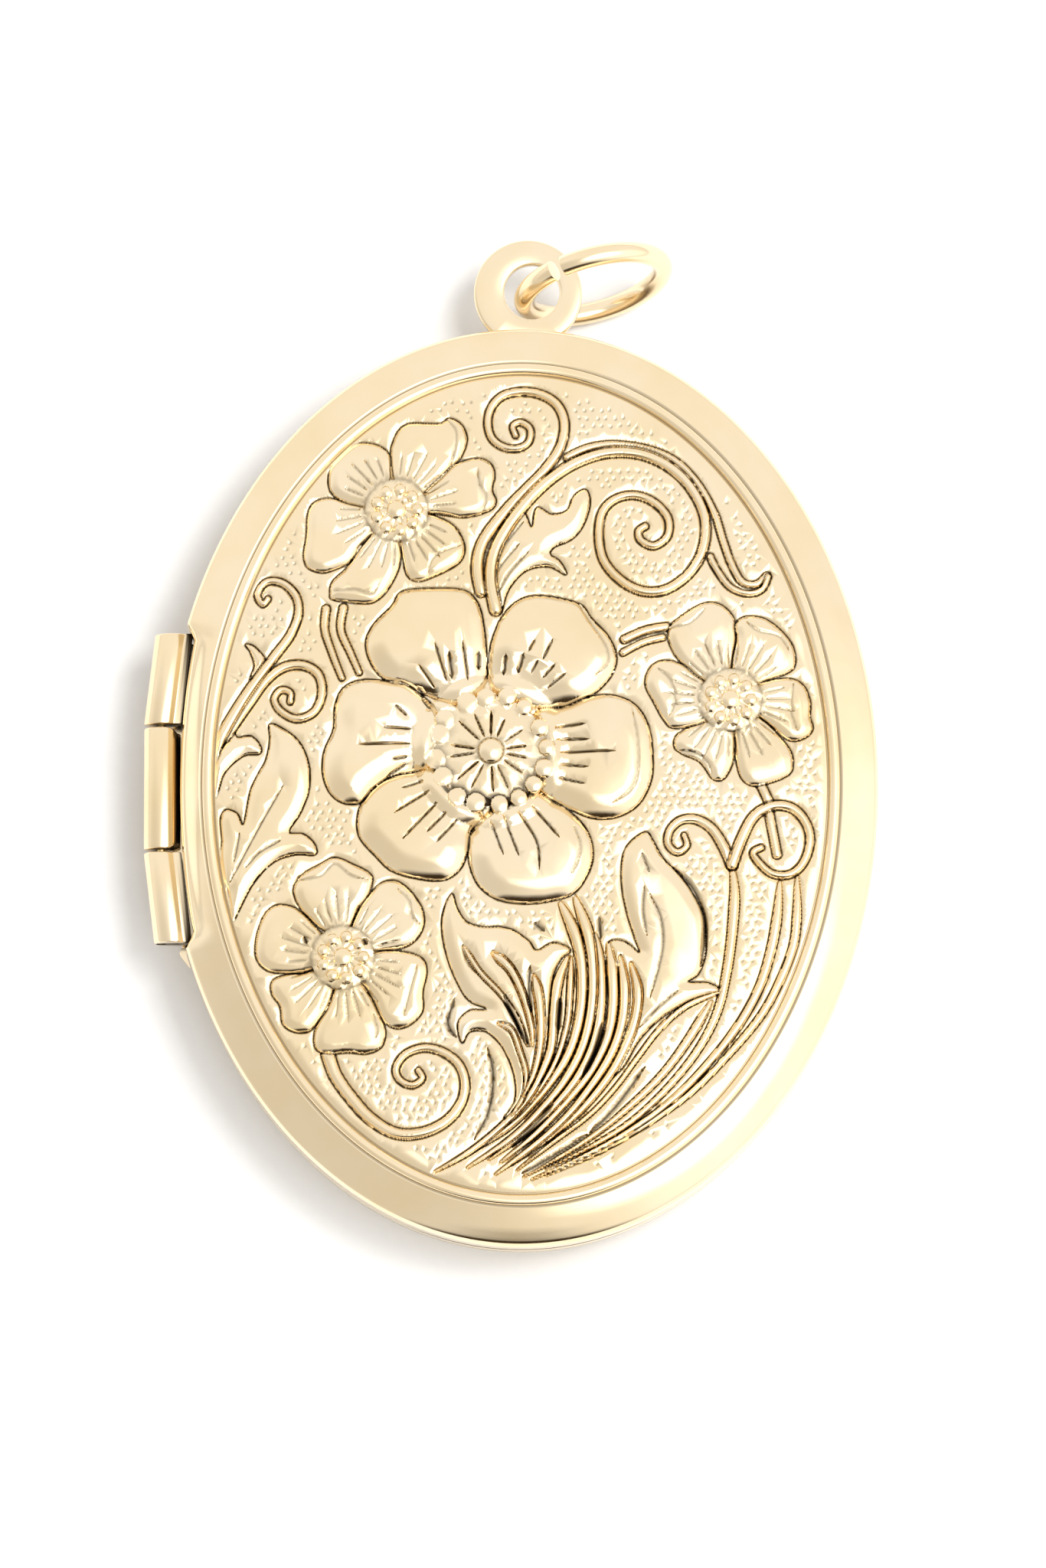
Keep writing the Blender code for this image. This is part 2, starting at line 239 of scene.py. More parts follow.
def polished_gold(name, roughness, wave_depth):
    """Polished gold-filled brass, painted dark brown as shade where a mesh attribute marks a crease.
    """
    gold, shader, in_mm = new_material(name)
    clouds = add_node(
        gold,
        "ShaderNodeTexNoise",
        inputs={"Vector": in_mm, "Scale": 1 / CLOUD_SIZE, "Detail": 3.0, "Roughness": 0.6},
    )
    tint = add_node(
        gold,
        "ShaderNodeMapRange",
        inputs={"Value": clouds.outputs["Fac"], "From Min": 0.35, "From Max": 0.7},
    )
    colour = add_node(
        gold,
        "ShaderNodeMix",
        {"data_type": "RGBA"},
        {0: tint.outputs["Result"], 6: linear(BUFFED_GOLD), 7: linear(WARM_GOLD)},
    )
    painted_shade = add_node(gold, "ShaderNodeAttribute", {"attribute_name": "painted_shade"})
    shadowed = add_node(
        gold,
        "ShaderNodeMath",
        {"operation": "POWER", "use_clamp": True},
        {0: painted_shade.outputs["Fac"], 1: CREASE_SHARPNESS},
    )
    paint = add_node(
        gold,
        "ShaderNodeMix",
        {"data_type": "RGBA"},
        {0: shadowed.outputs["Value"], 6: colour.outputs[2], 7: linear(CREASE_SHADE_BROWN)},
    )
    haze = add_node(
        gold,
        "ShaderNodeMapRange",
        inputs={
            "Value": clouds.outputs["Fac"],
            "To Min": roughness - 0.03,
            "To Max": roughness + 0.05,
        },
    )
    dulled = add_node(
        gold,
        "ShaderNodeMath",
        {"operation": "MULTIPLY_ADD"},
        {0: painted_shade.outputs["Fac"], 1: CREASE_DULLS, 2: haze.outputs["Result"]},
    )
    marks = add_node(
        gold,
        "ShaderNodeTexNoise",
        inputs={"Vector": in_mm, "Scale": 1 / MARK_SIZE, "Detail": 2.0},
    )
    wave = add_node(
        gold, "ShaderNodeTexNoise", inputs={"Vector": in_mm, "Scale": 1 / WAVE_SIZE, "Detail": 1.0}
    )
    pressed = add_node(
        gold,
        "ShaderNodeBump",
        inputs={"Height": wave.outputs["Fac"], "Strength": 0.25, "Distance": wave_depth * MM},
    )
    buffed = add_node(
        gold,
        "ShaderNodeBump",
        inputs={
            "Height": marks.outputs["Fac"],
            "Strength": 0.15,
            "Distance": 0.002 * MM,
            "Normal": pressed.outputs["Normal"],
        },
    )
    set_input(gold, shader, "Base Color", paint.outputs[2])
    set_input(gold, shader, "Metallic", 1.0)
    set_input(gold, shader, "Roughness", dulled.outputs["Value"])
    set_input(gold, shader, "Normal", buffed.outputs["Normal"])
    return gold


plain_gold = polished_gold("polished_gold_filled_brass", GOLD_ROUGHNESS, PLAIN_WAVE)

inside = [(0.4, RIM_GAP, 1), (0.4, 0.95, 1), (0.95, 1.34, 0.5), (1.5, 1.58, 0), (3, 2.33, 0)]
inside += [(4.5, 2.7, 0)]
outside = [(0.05, RIM_GAP, 1), (0, 0.1, 1), (0, 0.55, 1), (0, 1, 1)]
outside += [
    tuple(row)
    for row in flowing(
        [(0, 1, 1), (0.08, 1.2, 1), (0.3, 1.38, 0.9), (1.35, 2.02, 0), (3, 2.74, 0), (4.6, 3.1, 0)]
    )[1:]
]
back_shell = draw_up("Back_shell", ROUND, inside[::-1] + outside, down_side, joined=False)
back_shell.data.materials.append(plain_gold)
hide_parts("back_shell")
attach(back_shell, "back_half")


# Snap bezel
# The springy lip inside the back's wall, which the cover snaps over. A strip of the same sheet,
# burnished and not buffed, soldered in all round.

satin_gold, shader, in_mm = new_material("satin_gold_filled_brass")
# Burnished brass reflects softly, in fine marks along the strip. The real ones are about
# 0.02 mm wide and are drawn 0.08 mm wide.
SATIN_COLOUR, SATIN_DARK = "#F1D7A3", "#D9B878"
BURNISH_SIZE, BURNISH_DEPTH = 0.08, 0.004
streaks = add_node(
    satin_gold,
    "ShaderNodeTexNoise",
    inputs={"Vector": in_mm, "Scale": 1 / BURNISH_SIZE, "Detail": 3.0},
)
tone = add_node(
    satin_gold,
    "ShaderNodeMix",
    {"data_type": "RGBA"},
    {0: streaks.outputs["Fac"], 6: linear(SATIN_COLOUR), 7: linear(SATIN_DARK)},
)
softness = add_node(
    satin_gold,
    "ShaderNodeMapRange",
    inputs={"Value": streaks.outputs["Fac"], "To Min": 0.24, "To Max": 0.36},
)
grain = add_node(
    satin_gold,
    "ShaderNodeBump",
    inputs={"Height": streaks.outputs["Fac"], "Strength": 0.3, "Distance": BURNISH_DEPTH * MM},
)
set_input(satin_gold, shader, "Base Color", tone.outputs[2])
set_input(satin_gold, shader, "Metallic", 1.0)
set_input(satin_gold, shader, "Roughness", softness.outputs["Result"])
set_input(satin_gold, shader, "Normal", grain.outputs["Normal"])

BEZEL_OUT, BEZEL_IN = 0.45, 0.77
BEZEL_TOP, BEZEL_FOOT = 0.8, -0.85
bezel_rows = [(BEZEL_OUT, BEZEL_FOOT, 1), (BEZEL_OUT, BEZEL_TOP - 0.14, 1)]
bezel_rows += [(BEZEL_OUT + 0.03, BEZEL_TOP - 0.06, 1), (BEZEL_OUT + 0.1, BEZEL_TOP, 1)]
bezel_rows += [(BEZEL_IN - 0.05, BEZEL_TOP, 1), (BEZEL_IN, BEZEL_TOP - 0.05, 1)]
bezel_rows += [(BEZEL_IN, BEZEL_FOOT, 1)]
snap_bezel = draw_up("Snap_bezel", ROUND, bezel_rows, up_side, joined=True)
snap_bezel.data.materials.append(satin_gold)
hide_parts("snap_bezel")
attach(snap_bezel, "back_half")


# Photo holders
# In each half a pressed sloping frame holds a clear window over a blank photo card. The frame is
# burnished gold-filled brass, the window is cut from acetate sheet, and the card is cream board.

FRAME_OUTER, FRAME_INNER = 1.05, 2.7
LIP_HEIGHT = {"front": 0.95, "back": 1.45}
WINDOW_INSET, WINDOW_SHEET = 2.4, 0.25
CARD_INSET, CARD_SHEET = 2.5, 0.2
STACK_GAP = 0.04
EASED = 0.04

# Clear acetate sheet, polished between plates: glass-like, a trace of warm grey in its depth, and
# very faint handling haze in patches about 3 mm across.
HAZE_SIZE = 3.0
clear_acetate, shader, in_mm = new_material("clear_acetate_sheet")
handled = add_node(
    clear_acetate,
    "ShaderNodeTexNoise",
    inputs={"Vector": in_mm, "Scale": 1 / HAZE_SIZE, "Detail": 4.0},
)
haze = add_node(
    clear_acetate,
    "ShaderNodeMapRange",
    inputs={"Value": handled.outputs["Fac"], "To Min": 0.02, "To Max": 0.14},
)
set_input(clear_acetate, shader, "Base Color", linear("#FCFCFA"))
set_input(clear_acetate, shader, "IOR", 1.48)
set_input(clear_acetate, shader, "Transmission Weight", 1.0)
set_input(clear_acetate, shader, "Roughness", haze.outputs["Result"])

# Uncoated cream card: matt, with a soft felt of paper fibres about 0.15 mm long.
FIBRE_SIZE, FELT_DEPTH = 0.15, 0.02
cream_card, shader, in_mm = new_material("uncoated_cream_card")
fibres = add_node(
    cream_card,
    "ShaderNodeTexNoise",
    inputs={"Vector": in_mm, "Scale": 1 / FIBRE_SIZE, "Detail": 6.0, "Roughness": 0.7},
)
card_tone = add_node(
    cream_card,
    "ShaderNodeMix",
    {"data_type": "RGBA"},
    {0: fibres.outputs["Fac"], 6: linear("#F2EAD6"), 7: linear("#E6DBC0")},
)
felt = add_node(
    cream_card,
    "ShaderNodeBump",
    inputs={"Height": fibres.outputs["Fac"], "Strength": 0.5, "Distance": FELT_DEPTH * MM},
)
set_input(cream_card, shader, "Base Color", card_tone.outputs[2])
set_input(cream_card, shader, "Roughness", 0.85)
set_input(cream_card, shader, "Normal", felt.outputs["Normal"])


def eased_plate(inset, low, thick):
    """The rows of a thin flat oval with its edges just eased."""
    return [
        (inset + EASED, low, 0),
        (inset, low + EASED, 0),
        (inset, low + thick - EASED, 0),
        (inset + EASED, low + thick, 0),
    ]


for half, place, body in (("front", up_side, "front_cover"), ("back", down_side, "back_half")):
    lip = LIP_HEIGHT[half]
    slope = [(FRAME_OUTER, 0.2, 1), (FRAME_OUTER + 0.1, 0.14, 1), (FRAME_OUTER + 0.35, 0.12, 0.8)]
    slope += [(FRAME_OUTER + 0.6, 0.2, 0.5), (FRAME_INNER - 0.1, lip - 0.27, 0)]
    foot = [(FRAME_INNER, lip - 0.2, 0), (FRAME_INNER, lip - 0.03, 0), (FRAME_INNER - 0.03, lip, 0)]
    back = [(FRAME_INNER - 0.28, lip, 0), (FRAME_OUTER, 0.5, 1)]
    window_low = lip + STACK_GAP
    card_low = window_low + WINDOW_SHEET + STACK_GAP
    pieces = (
        ("photo_frame", slope + foot + back, True, satin_gold, "satin_gold"),
        ("window", eased_plate(WINDOW_INSET, window_low, WINDOW_SHEET), False, clear_acetate,
         "clear_acetate"),
        ("photo_card", eased_plate(CARD_INSET, card_low, CARD_SHEET), False, cream_card,
         "cream_card"),
    )
    for kind, rows, joined, material, slot in pieces:
        piece = draw_up(f"{half.title()}_{kind}", ROUND // 2, rows, place, joined)
        piece.data.materials.append(material)
        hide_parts(f"{half}_{kind}")
        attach(piece, body)


# Embossed cover
# The front half: a smooth rounded border, a fine raised bead, and a domed panel struck in a die
# with six-petalled flowers, scrolls, leaves and a sheaf of stems on a stippled ground. It is
# pressed from the same gold-filled sheet, then buffed. Its deepest lines are painted dark as shade.

PANEL_INSET = 1.97
PANEL_GRID = 640
PANEL_TRIANGLES = 168_000
PANEL_TOP, PANEL_FALL = 2.42, 0.52
OUTLINE_CUT, STRAND_CUT, OUTLINE_DEPTH = 0.085, 0.06, 0.065
ROOM_AROUND = 1.0

start_shaping()
bpy.ops.mesh.primitive_grid_add(x_subdivisions=PANEL_GRID, y_subdivisions=PANEL_GRID, size=2)
cover_panel = bpy.context.object
square = np.zeros(len(cover_panel.data.vertices) * 3)
cover_panel.data.vertices.foreach_get("co", square)
square = square.reshape(-1, 3)[:, :2]
# The square is pressed round: its corners go to the diagonals of a circle, then of the oval.
reach = np.abs(square).max(1)
upright = np.abs(square[:, 1]) > np.abs(square[:, 0])
long_side = np.where(upright, square[:, 1], square[:, 0])
long_side[long_side == 0] = 1e-9
short_side = np.where(upright, square[:, 0], square[:, 1])
swing = math.pi / 4 * short_side / long_side
turn = np.where(upright, math.pi / 2 - swing, swing) + np.where(long_side < 0, math.pi, 0)
panel = np.column_stack(oval(turn, PANEL_INSET)) * reach[:, None]
relief = np.zeros(len(panel))
# How dark each point of the panel is painted as shade, in its cuts, creases and pits.
painted_shade = np.zeros(len(panel))
FAR_AWAY = 9.0
clearance = np.full(len(panel), FAR_AWAY)


def near(line, margin):
    """Which of the panel's points are within a margin of a line's box."""
    low, high = line.min(0) - margin, line.max(0) + margin
    return np.flatnonzero(((panel > low) & (panel < high)).all(1))


def to_line(points, line):
    """How far each point is from a line, and how far along it the nearest place is, 0 to 1."""
    spans = np.diff(line, axis=0)
    lengths = np.hypot(*spans.T)
    run = np.concatenate([[0], np.cumsum(lengths)])
    nearest = np.full(len(points), np.inf)
    along = np.zeros(len(points))
    for start, span, length, before in zip(line, spans, lengths, run):
        if length == 0:
            continue
        share = np.clip((points - start) @ span / length**2, 0, 1)
        gap = np.hypot(*(points - start - share[:, None] * span).T)
        closer = gap < nearest
        nearest[closer] = gap[closer]
        along[closer] = (before + share[closer] * length) / run[-1]
    return nearest, along


def within(points, line):
    """Which points a closed line goes round."""
    x, y = points.T
    odd = np.zeros(len(points), bool)
    for (ax, ay), (bx, by) in zip(line, np.roll(line, -1, axis=0)):
        if ay != by:
            odd ^= ((ay > y) != (by > y)) & (x < (bx - ax) * (y - ay) / (by - ay) + ax)
    return odd


def outline_cut(spots, gap, outside, dark, width=OUTLINE_CUT):
    """The thin cut that the die leaves round a shape, painted dark as shade, and the room it keeps
    from the stipple.
    """
    cut = np.where(outside, np.clip(1 - gap / width, 0, 1), 0)
    relief[spots] -= OUTLINE_DEPTH * cut * (2 - cut)
    painted_shade[spots] = np.maximum(painted_shade[spots], dark * np.clip(2.4 * cut - 0.2, 0, 1))
    clearance[spots] = np.where(outside, np.minimum(clearance[spots], gap), 0)


def strike_shape(outline, height, edge, dark=0.95):
    """Raises a closed shape with a rounded edge. Returns its points and how far in they are."""
    line = flowing(outline, closed=True)
    spots = near(line, ROOM_AROUND)
    gap, _ = to_line(panel[spots], np.vstack([line, line[:1]]))
    inner = within(panel[spots], line)
    raised = height * np.sin(math.pi / 2 * np.clip(gap / edge, 0, 1)) ** 0.8
    relief[spots] = np.where(inner, raised, relief[spots])
    painted_shade[spots] = np.where(inner, 0, painted_shade[spots])
    outline_cut(spots, gap, ~inner, dark)
    return spots[inner], gap[inner]


def strike_band(start_half, end_half, height, points, dark=0.9, pointed=False):
    """Raises a rounded band along a line, its half-width going from one size to another. A
    pointed band runs out thin and low at both ends."""
    line = flowing(points)
    spots = near(line, ROOM_AROUND)
    gap, along = to_line(panel[spots], line)
    half = start_half + (end_half - start_half) * along
    taper = np.sqrt(np.clip(np.minimum(9 * along, 6 * (1 - along)) + 0.1, 0, 1)) if pointed else 1
    half = half * taper
    inner = gap < half
    raised = height * taper * (1 - (gap / half) ** 3)
    relief[spots] = np.where(inner, raised, relief[spots])
    painted_shade[spots] = np.where(inner, 0, painted_shade[spots])
    width = STRAND_CUT if pointed else OUTLINE_CUT
    # Its outline is painted dark as shade.
    outline_cut(spots, np.maximum(gap - half, 0), ~inner, dark * taper, width)


def cut(points, half, depth, dark):
    """A crease, deepest in the middle of its length and fading out at its ends, and painted dark as
    shade.
    """
    line = flowing(points) if len(points) > 2 else np.array(points, float)
    spots = near(line, half)
    gap, along = to_line(panel[spots], line)
    fade = np.minimum(1, 5 * np.minimum(along + 0.06, 1.02 - along)) * half
    groove = np.clip(1 - gap / np.maximum(fade, 0.01), 0, 1)
    relief[spots] -= depth * groove
    painted_shade[spots] = np.maximum(painted_shade[spots], dark * groove)


# The leaves, with their veins. Their outlines and veins are painted dark as shade.
LEAF_HEIGHT, LEAF_EDGE = 0.2, 0.5
VEIN_HALF, VEIN_DEPTH, VEIN_DARK = 0.09, 0.08, 0.85
LEAVES = [
    [
        (-9.45, 2.2), (-9.45, 1.6), (-9.6, 0.85), (-9.95, 0.2), (-10.2, -0.4), (-10.45, -1.6),
        (-10.7, -1.2), (-11.1, -1.05), (-11.3, -1.35), (-11.25, -2.2), (-11.35, -2.95), (-11.3, -3.7),
        (-11, -4.15), (-10.95, -5.45), (-10.7, -5), (-10.1, -3.85), (-9.35, -3.05), (-8.5, -2.75),
        (-7.75, -2.75), (-7.8, -2.35), (-8.2, -2), (-8.75, -1.9), (-8.3, -1.15), (-8, -0.3), (-8, 0.6),
        (-8.3, 1.4), (-8.8, 1.9),
    ],
    [
        (-11.05, 1.6), (-10.85, 1.95), (-10.7, 1.7), (-10.2, 1.75), (-9.85, 1.4), (-9.85, 1.1),
        (-10.4, 1.05), (-10.9, 0.7), (-11.25, 0.25), (-11.55, -0.6), (-11.65, 0.7),
    ],
    [(-10.4, 5.25), (-10.05, 5.15), (-9.65, 4.55), (-10.2, 3.95), (-10.05, 4.45), (-10.2, 4.95)],
    [
        (2.45, 11.15), (2.6, 10.6), (2.35, 9.8), (1.9, 9.25), (1.25, 8.95), (1.1, 8.65), (1.45, 8.4),
        (1.7, 7.9), (1.05, 8.2), (0.2, 8.05), (-0.45, 7.35), (-0.8, 6.4), (-1, 7.05), (-1.1, 8.2),
        (-0.75, 9.4), (0, 10.35), (0.4, 9.7), (0.6, 10.45), (1.15, 10.2), (1.75, 10.35), (2, 10.9),
    ],
    [
        (-2.6, -4.3), (-2.9, -4.95), (-2.95, -5.75), (-2.75, -6.7), (-2.4, -7.6), (-1.95, -8.3),
        (-1.25, -8.65), (-1.9, -8.7), (-2.3, -9.05), (-2.35, -9.45), (-2.2, -9.9), (-1.95, -9.5),
        (-1.4, -9.45), (-1, -9.7), (-0.6, -10.2), (-0.25, -11.1), (-0.2, -12.05), (-0.6, -12.75),
        (-0.05, -12.5), (0.45, -11.6), (0.8, -10.75), (1, -9.7), (1.1, -8.45), (1.2, -7.4),
        (1.5, -6.75), (1.85, -6.4), (1.2, -6.15), (0.6, -6.45), (0.3, -6.1), (-0.25, -5.7),
        (-0.75, -5.55), (-1.45, -5.55), (-2.05, -5.35), (-2.4, -4.85),
    ],
    [
        (4.7, -1.95), (4.15, -2.3), (3.85, -2.85), (3.8, -3.9), (4, -5), (4.3, -5.95), (4.45, -6.5),
        (3.9, -6.1), (3.35, -6.1), (3.3, -6.7), (3.6, -7.2), (3.9, -8.25), (3.8, -9.35), (3.45, -10.4),
        (2.85, -11.55), (3.8, -10.85), (4.4, -9.85), (5.15, -9.05), (6.1, -8.45), (6.95, -8.15),
        (7.55, -7.95), (7.05, -7.65), (6.3, -7.6), (6.65, -7.3), (6.9, -6.7), (6.95, -5.85),
        (6.85, -5), (6.45, -4.25), (6, -3.6), (5.35, -2.95), (4.95, -2.25),
    ],
]

VEINS = [
    [(-8.95, -0.15), (-9.65, -1.35), (-10.3, -2.55), (-11, -3.9)],
    [(-10.6, -1.95), (-10.8, -3.05)],
    [(-9.05, -2.25), (-9.85, -2.7), (-10.4, -3.3)],
    [(0.3, 8.75), (-0.45, 7.9), (-0.85, 7.15)],
    [(-0.05, 9.05), (-0.75, 8.2), (-1.15, 7.35)],
    [(0.1, 9.9), (-0.55, 9.05), (-0.95, 8.2)],
    [(4.85, -4.3), (5.25, -5.2), (5.35, -6.15), (5.15, -7.2), (4.85, -8.25)],
    [(4.55, -2.75), (4.85, -3.5)],
    [(4.1, -7), (4.4, -7.75), (4.3, -8.6)],
    [(5.9, -7.95), (5.15, -8.6), (4.45, -9.35)],
    [(4.65, -4), (4.6, -5), (4.75, -5.9)],
    [(-2.2, -6.25), (-2, -6.9), (-1.55, -7.4)],
]

for outline in LEAVES:
    strike_shape(outline, LEAF_HEIGHT, LEAF_EDGE, dark=1.0)
for points in VEINS:
    cut(points, VEIN_HALF, VEIN_DEPTH, VEIN_DARK)

# The stems and the sheaf: (half-width at one end, at the other, height, line from tip to root).
STEMS = [
    (0.17, 0.06, 0.15, [
        (10.4, -3.6), (10.4, -5), (10.25, -6.25), (9.75, -7.55), (9, -8.9), (7.75, -10.4),
        (6.3, -11.85), (4.6, -13.05), (2.85, -14.05), (0.95, -14.9),
    ]),
    (0.19, 0.06, 0.15, [
        (9.75, -3.8), (9.65, -5.1), (9.4, -6.45), (8.95, -7.85), (8.2, -9.2), (7.15, -10.55),
        (5.8, -11.95), (4.1, -13.2), (2.2, -14.25), (0.4, -15.05),
    ]),
    (0.2, 0.06, 0.17, [
        (7.95, -3.15), (8.05, -4.25), (7.95, -5.75), (7.75, -7.2), (7.4, -8.7), (6.7, -10.1),
        (5.65, -11.45), (4.3, -12.75), (2.85, -13.7), (0.95, -14.65),
    ]),
    (0.17, 0.05, 0.17, [
        (7.15, -8.35), (6.35, -9.7), (5.4, -11), (4.2, -12.2), (2.8, -13.35), (1.3, -14.3),
        (0.1, -14.95),
    ]),
    (0.1, 0.06, 0.17, [
        (7.45, -8), (6.25, -8.5), (5.25, -9.35), (4.4, -10.45), (3.55, -11.6), (2.55, -12.65),
        (1.15, -13.7), (-0.15, -14.7),
    ]),
]

SHEAF = [
    (0.2, 0.09, 0.2, [
        (4.15, -6.95), (4.4, -7.95), (4.3, -9), (3.9, -10.1), (3.25, -11.25), (2.2, -12.5),
        (0.95, -13.55), (-0.4, -14.5),
    ]),
    (0.21, 0.09, 0.21, [
        (3.75, -6.7), (3.9, -7.95), (3.8, -9.15), (3.4, -10.3), (2.7, -11.45), (1.75, -12.65),
        (0.6, -13.7), (-0.95, -14.85),
    ]),
    (0.22, 0.09, 0.21, [
        (3.3, -6.2), (3.45, -7.3), (3.45, -8.65), (3.2, -9.85), (2.55, -11.1), (1.65, -12.2),
        (0.55, -13.35), (-0.75, -14.4),
    ]),
    (0.23, 0.09, 0.22, [
        (2.8, -5.85), (2.95, -6.95), (3, -8.45), (2.8, -9.75), (2.2, -11.1), (1.25, -12.3),
        (0.1, -13.35), (-1.2, -14.3),
    ]),
    (0.24, 0.09, 0.22, [
        (2.05, -4.45), (2.5, -5.75), (2.7, -7.15), (2.65, -8.65), (2.3, -10.1), (1.6, -11.4),
        (0.7, -12.5), (-0.4, -13.55), (-2, -14.6),
    ]),
    (0.24, 0.09, 0.22, [
        (1.5, -4.65), (2.05, -5.85), (2.3, -7.15), (2.25, -8.65), (1.9, -10.05), (1.3, -11.15),
        (0.45, -12.2), (-0.6, -13.2), (-2.15, -14.15),
    ]),
    (0.12, 0.08, 0.21, [
        (1.9, -6.7), (1.85, -7.95), (1.75, -9.15), (1.4, -10.4), (0.85, -11.45), (0, -12.5),
        (-1, -13.35),
    ]),
    (0.2, 0.08, 0.21, [
        (1.75, -6.7), (1.4, -7.6), (1.25, -8.8), (1.15, -10.05), (0.8, -11), (0.3, -11.95),
        (-0.6, -12.95), (-1.9, -14), (-3.3, -14.8),
    ]),
    (0.12, 0.08, 0.22, [
        (-0.85, -9.2), (-0.35, -9.45), (-0.05, -10.2), (0.2, -11.1), (0.1, -11.95), (-0.35, -12.65),
    ]),
    (0.11, 0.09, 0.26, [
        (-2.15, -6.3), (-1.55, -7.25), (-0.75, -8.1), (-0.15, -9), (0.25, -10.05),
    ]),
    (0.2, 0.09, 0.27, [
        (-1.05, -6.55), (-0.4, -7.15), (0.1, -8.2), (0.4, -9.35), (0.45, -10.05),
    ]),
    (0.21, 0.09, 0.27, [
        (0.5, -7.4), (0.7, -8.45), (0.75, -9.7), (0.55, -10.9), (0.1, -11.95),
    ]),
]

# Their outlines are painted dark as shade.
for start_half, end_half, height, points in STEMS + SHEAF:
    strike_band(start_half, end_half, height, points, dark=1.0, pointed=True)

# The scrolls, their stalks and their curls, as the stems are given.
SCROLLS = [
    (0.14, 0.12, 0.15, [
        (1.75, 12.4), (2.5, 12.75), (3.45, 12.9), (4.7, 12.75), (5.8, 12.3), (6.65, 11.45),
        (7.3, 10.3), (7.65, 9.2), (7.95, 8.35), (8.35, 7.65), (8.9, 7.55), (9.3, 7.9),
    ]),
    (0.12, 0.1, 0.17, [
        (7.15, 8.6), (7.4, 8.1), (7.9, 7.45), (8.55, 7.2), (9.1, 7.35), (9.35, 7.85),
    ]),
    (0.22, 0.1, 0.18, [
        (-1.5, 7.25), (-1.65, 8.2), (-1.4, 9.2), (-0.55, 10.35), (0.2, 11.15), (0.95, 11.95),
        (1.5, 12.8), (1.65, 13.7), (1.4, 14.4), (0.85, 14.8), (0.1, 14.95), (-0.65, 14.8),
        (-1.1, 14.35), (-1.25, 13.75), (-1.1, 13.15), (-0.65, 12.8), (-0.1, 12.75), (0.3, 13),
        (0.35, 13.5), (0, 13.75), (-0.3, 13.6), (-0.2, 13.25),
    ]),
    (0.23, 0.12, 0.2, [
        (-0.95, 6.55), (-1.15, 7.7), (-1, 8.75), (-0.45, 9.8), (0.4, 10.9), (1.35, 11.75), (2.3, 12.3),
        (3.35, 12.6), (4.5, 12.55), (5.55, 12.1), (6.4, 11.3), (6.95, 10.15), (6.9, 8.95), (6.4, 8),
        (5.55, 7.35), (4.65, 7.25), (3.8, 7.65), (3.15, 8.4), (2.95, 9.3), (3.05, 10.2), (3.5, 10.75),
        (4.25, 10.95), (5, 10.7), (5.55, 10.1), (5.55, 9.4), (5.05, 9), (4.55, 9.2), (4.45, 9.55),
        (4.7, 9.75),
    ]),
    (0.2, 0.1, 0.17, [
        (-11.15, 1.75), (-10.7, 2.4), (-10.2, 3.1), (-9.65, 3.85), (-9, 4.35), (-8.25, 4.45),
        (-7.65, 4.1), (-7.5, 3.35), (-7.8, 2.65), (-8.45, 2.4), (-9.05, 2.7), (-9.3, 3.15),
        (-9.05, 3.5), (-8.7, 3.4), (-8.7, 3.05),
    ]),
    (0.22, 0.1, 0.18, [
        (-11.8, 0.6), (-11.4, 1.55), (-10.7, 2.8), (-10, 3.85), (-9.25, 4.85), (-8.7, 5.6),
        (-8.4, 6.4), (-8.5, 7.1), (-9, 7.6), (-9.6, 7.65), (-9.95, 7.2), (-9.75, 6.8), (-9.55, 7),
    ]),
    (0.24, 0.1, 0.18, [
        (-7.25, -10.35), (-6.95, -11.15), (-6.35, -12), (-5.6, -12.8), (-4.7, -13.3), (-3.75, -13.3),
        (-2.85, -12.9), (-2.25, -12.2), (-2.1, -11.4), (-2.35, -10.7), (-2.95, -10.25), (-3.65, -10.1),
        (-4.35, -10.35), (-4.7, -10.9), (-4.5, -11.35), (-4.05, -11.5), (-3.7, -11.25),
        (-3.85, -10.95),
    ]),
    (0.16, 0.16, 0.12, [
        (9.65, -2.75), (9.45, -1.7), (9.35, -1.15),
    ]),
    (0.16, 0.16, 0.12, [
        (9, 0), (9.35, -0.75),
    ]),
    (0.2, 0.09, 0.18, [
        (7.95, -3.15), (7.65, -2.5), (7.2, -1.8), (6.6, -1.45), (6, -1.5), (5.6, -1.9), (5.55, -2.4),
        (5.9, -2.7), (6.25, -2.45), (6.15, -2.05),
    ]),
    (0.2, 0.11, 0.2, [
        (7.95, -3.15), (8.35, -2.1), (8.8, -1.3), (9.5, -0.9), (10.25, -1), (10.75, -1.55),
        (10.9, -2.25), (10.65, -3.05), (10.15, -3.5), (9.5, -3.5), (9, -3.1), (8.75, -2.7),
        (9.05, -2.5),
    ]),
    (0.14, 0.1, 0.12, [
        (-7.35, 6.6), (-7.4, 5.8), (-7.1, 4.85), (-6.75, 3.95),
    ]),
    (0.14, 0.1, 0.12, [
        (-6.7, 6.65), (-6.8, 5.8), (-6.45, 4.95), (-6.1, 4.15),
    ]),
    (0.14, 0.14, 0.12, [
        (3.9, 5.4), (4.7, 5.75), (5.5, 5.9),
    ]),
    (0.12, 0.12, 0.12, [
        (3.85, 4.9), (4.6, 5.3), (5.35, 5.5),
    ]),
]

# Their outlines are painted dark as shade.
for start_half, end_half, height, points in SCROLLS:
    strike_band(start_half, end_half, height, points)
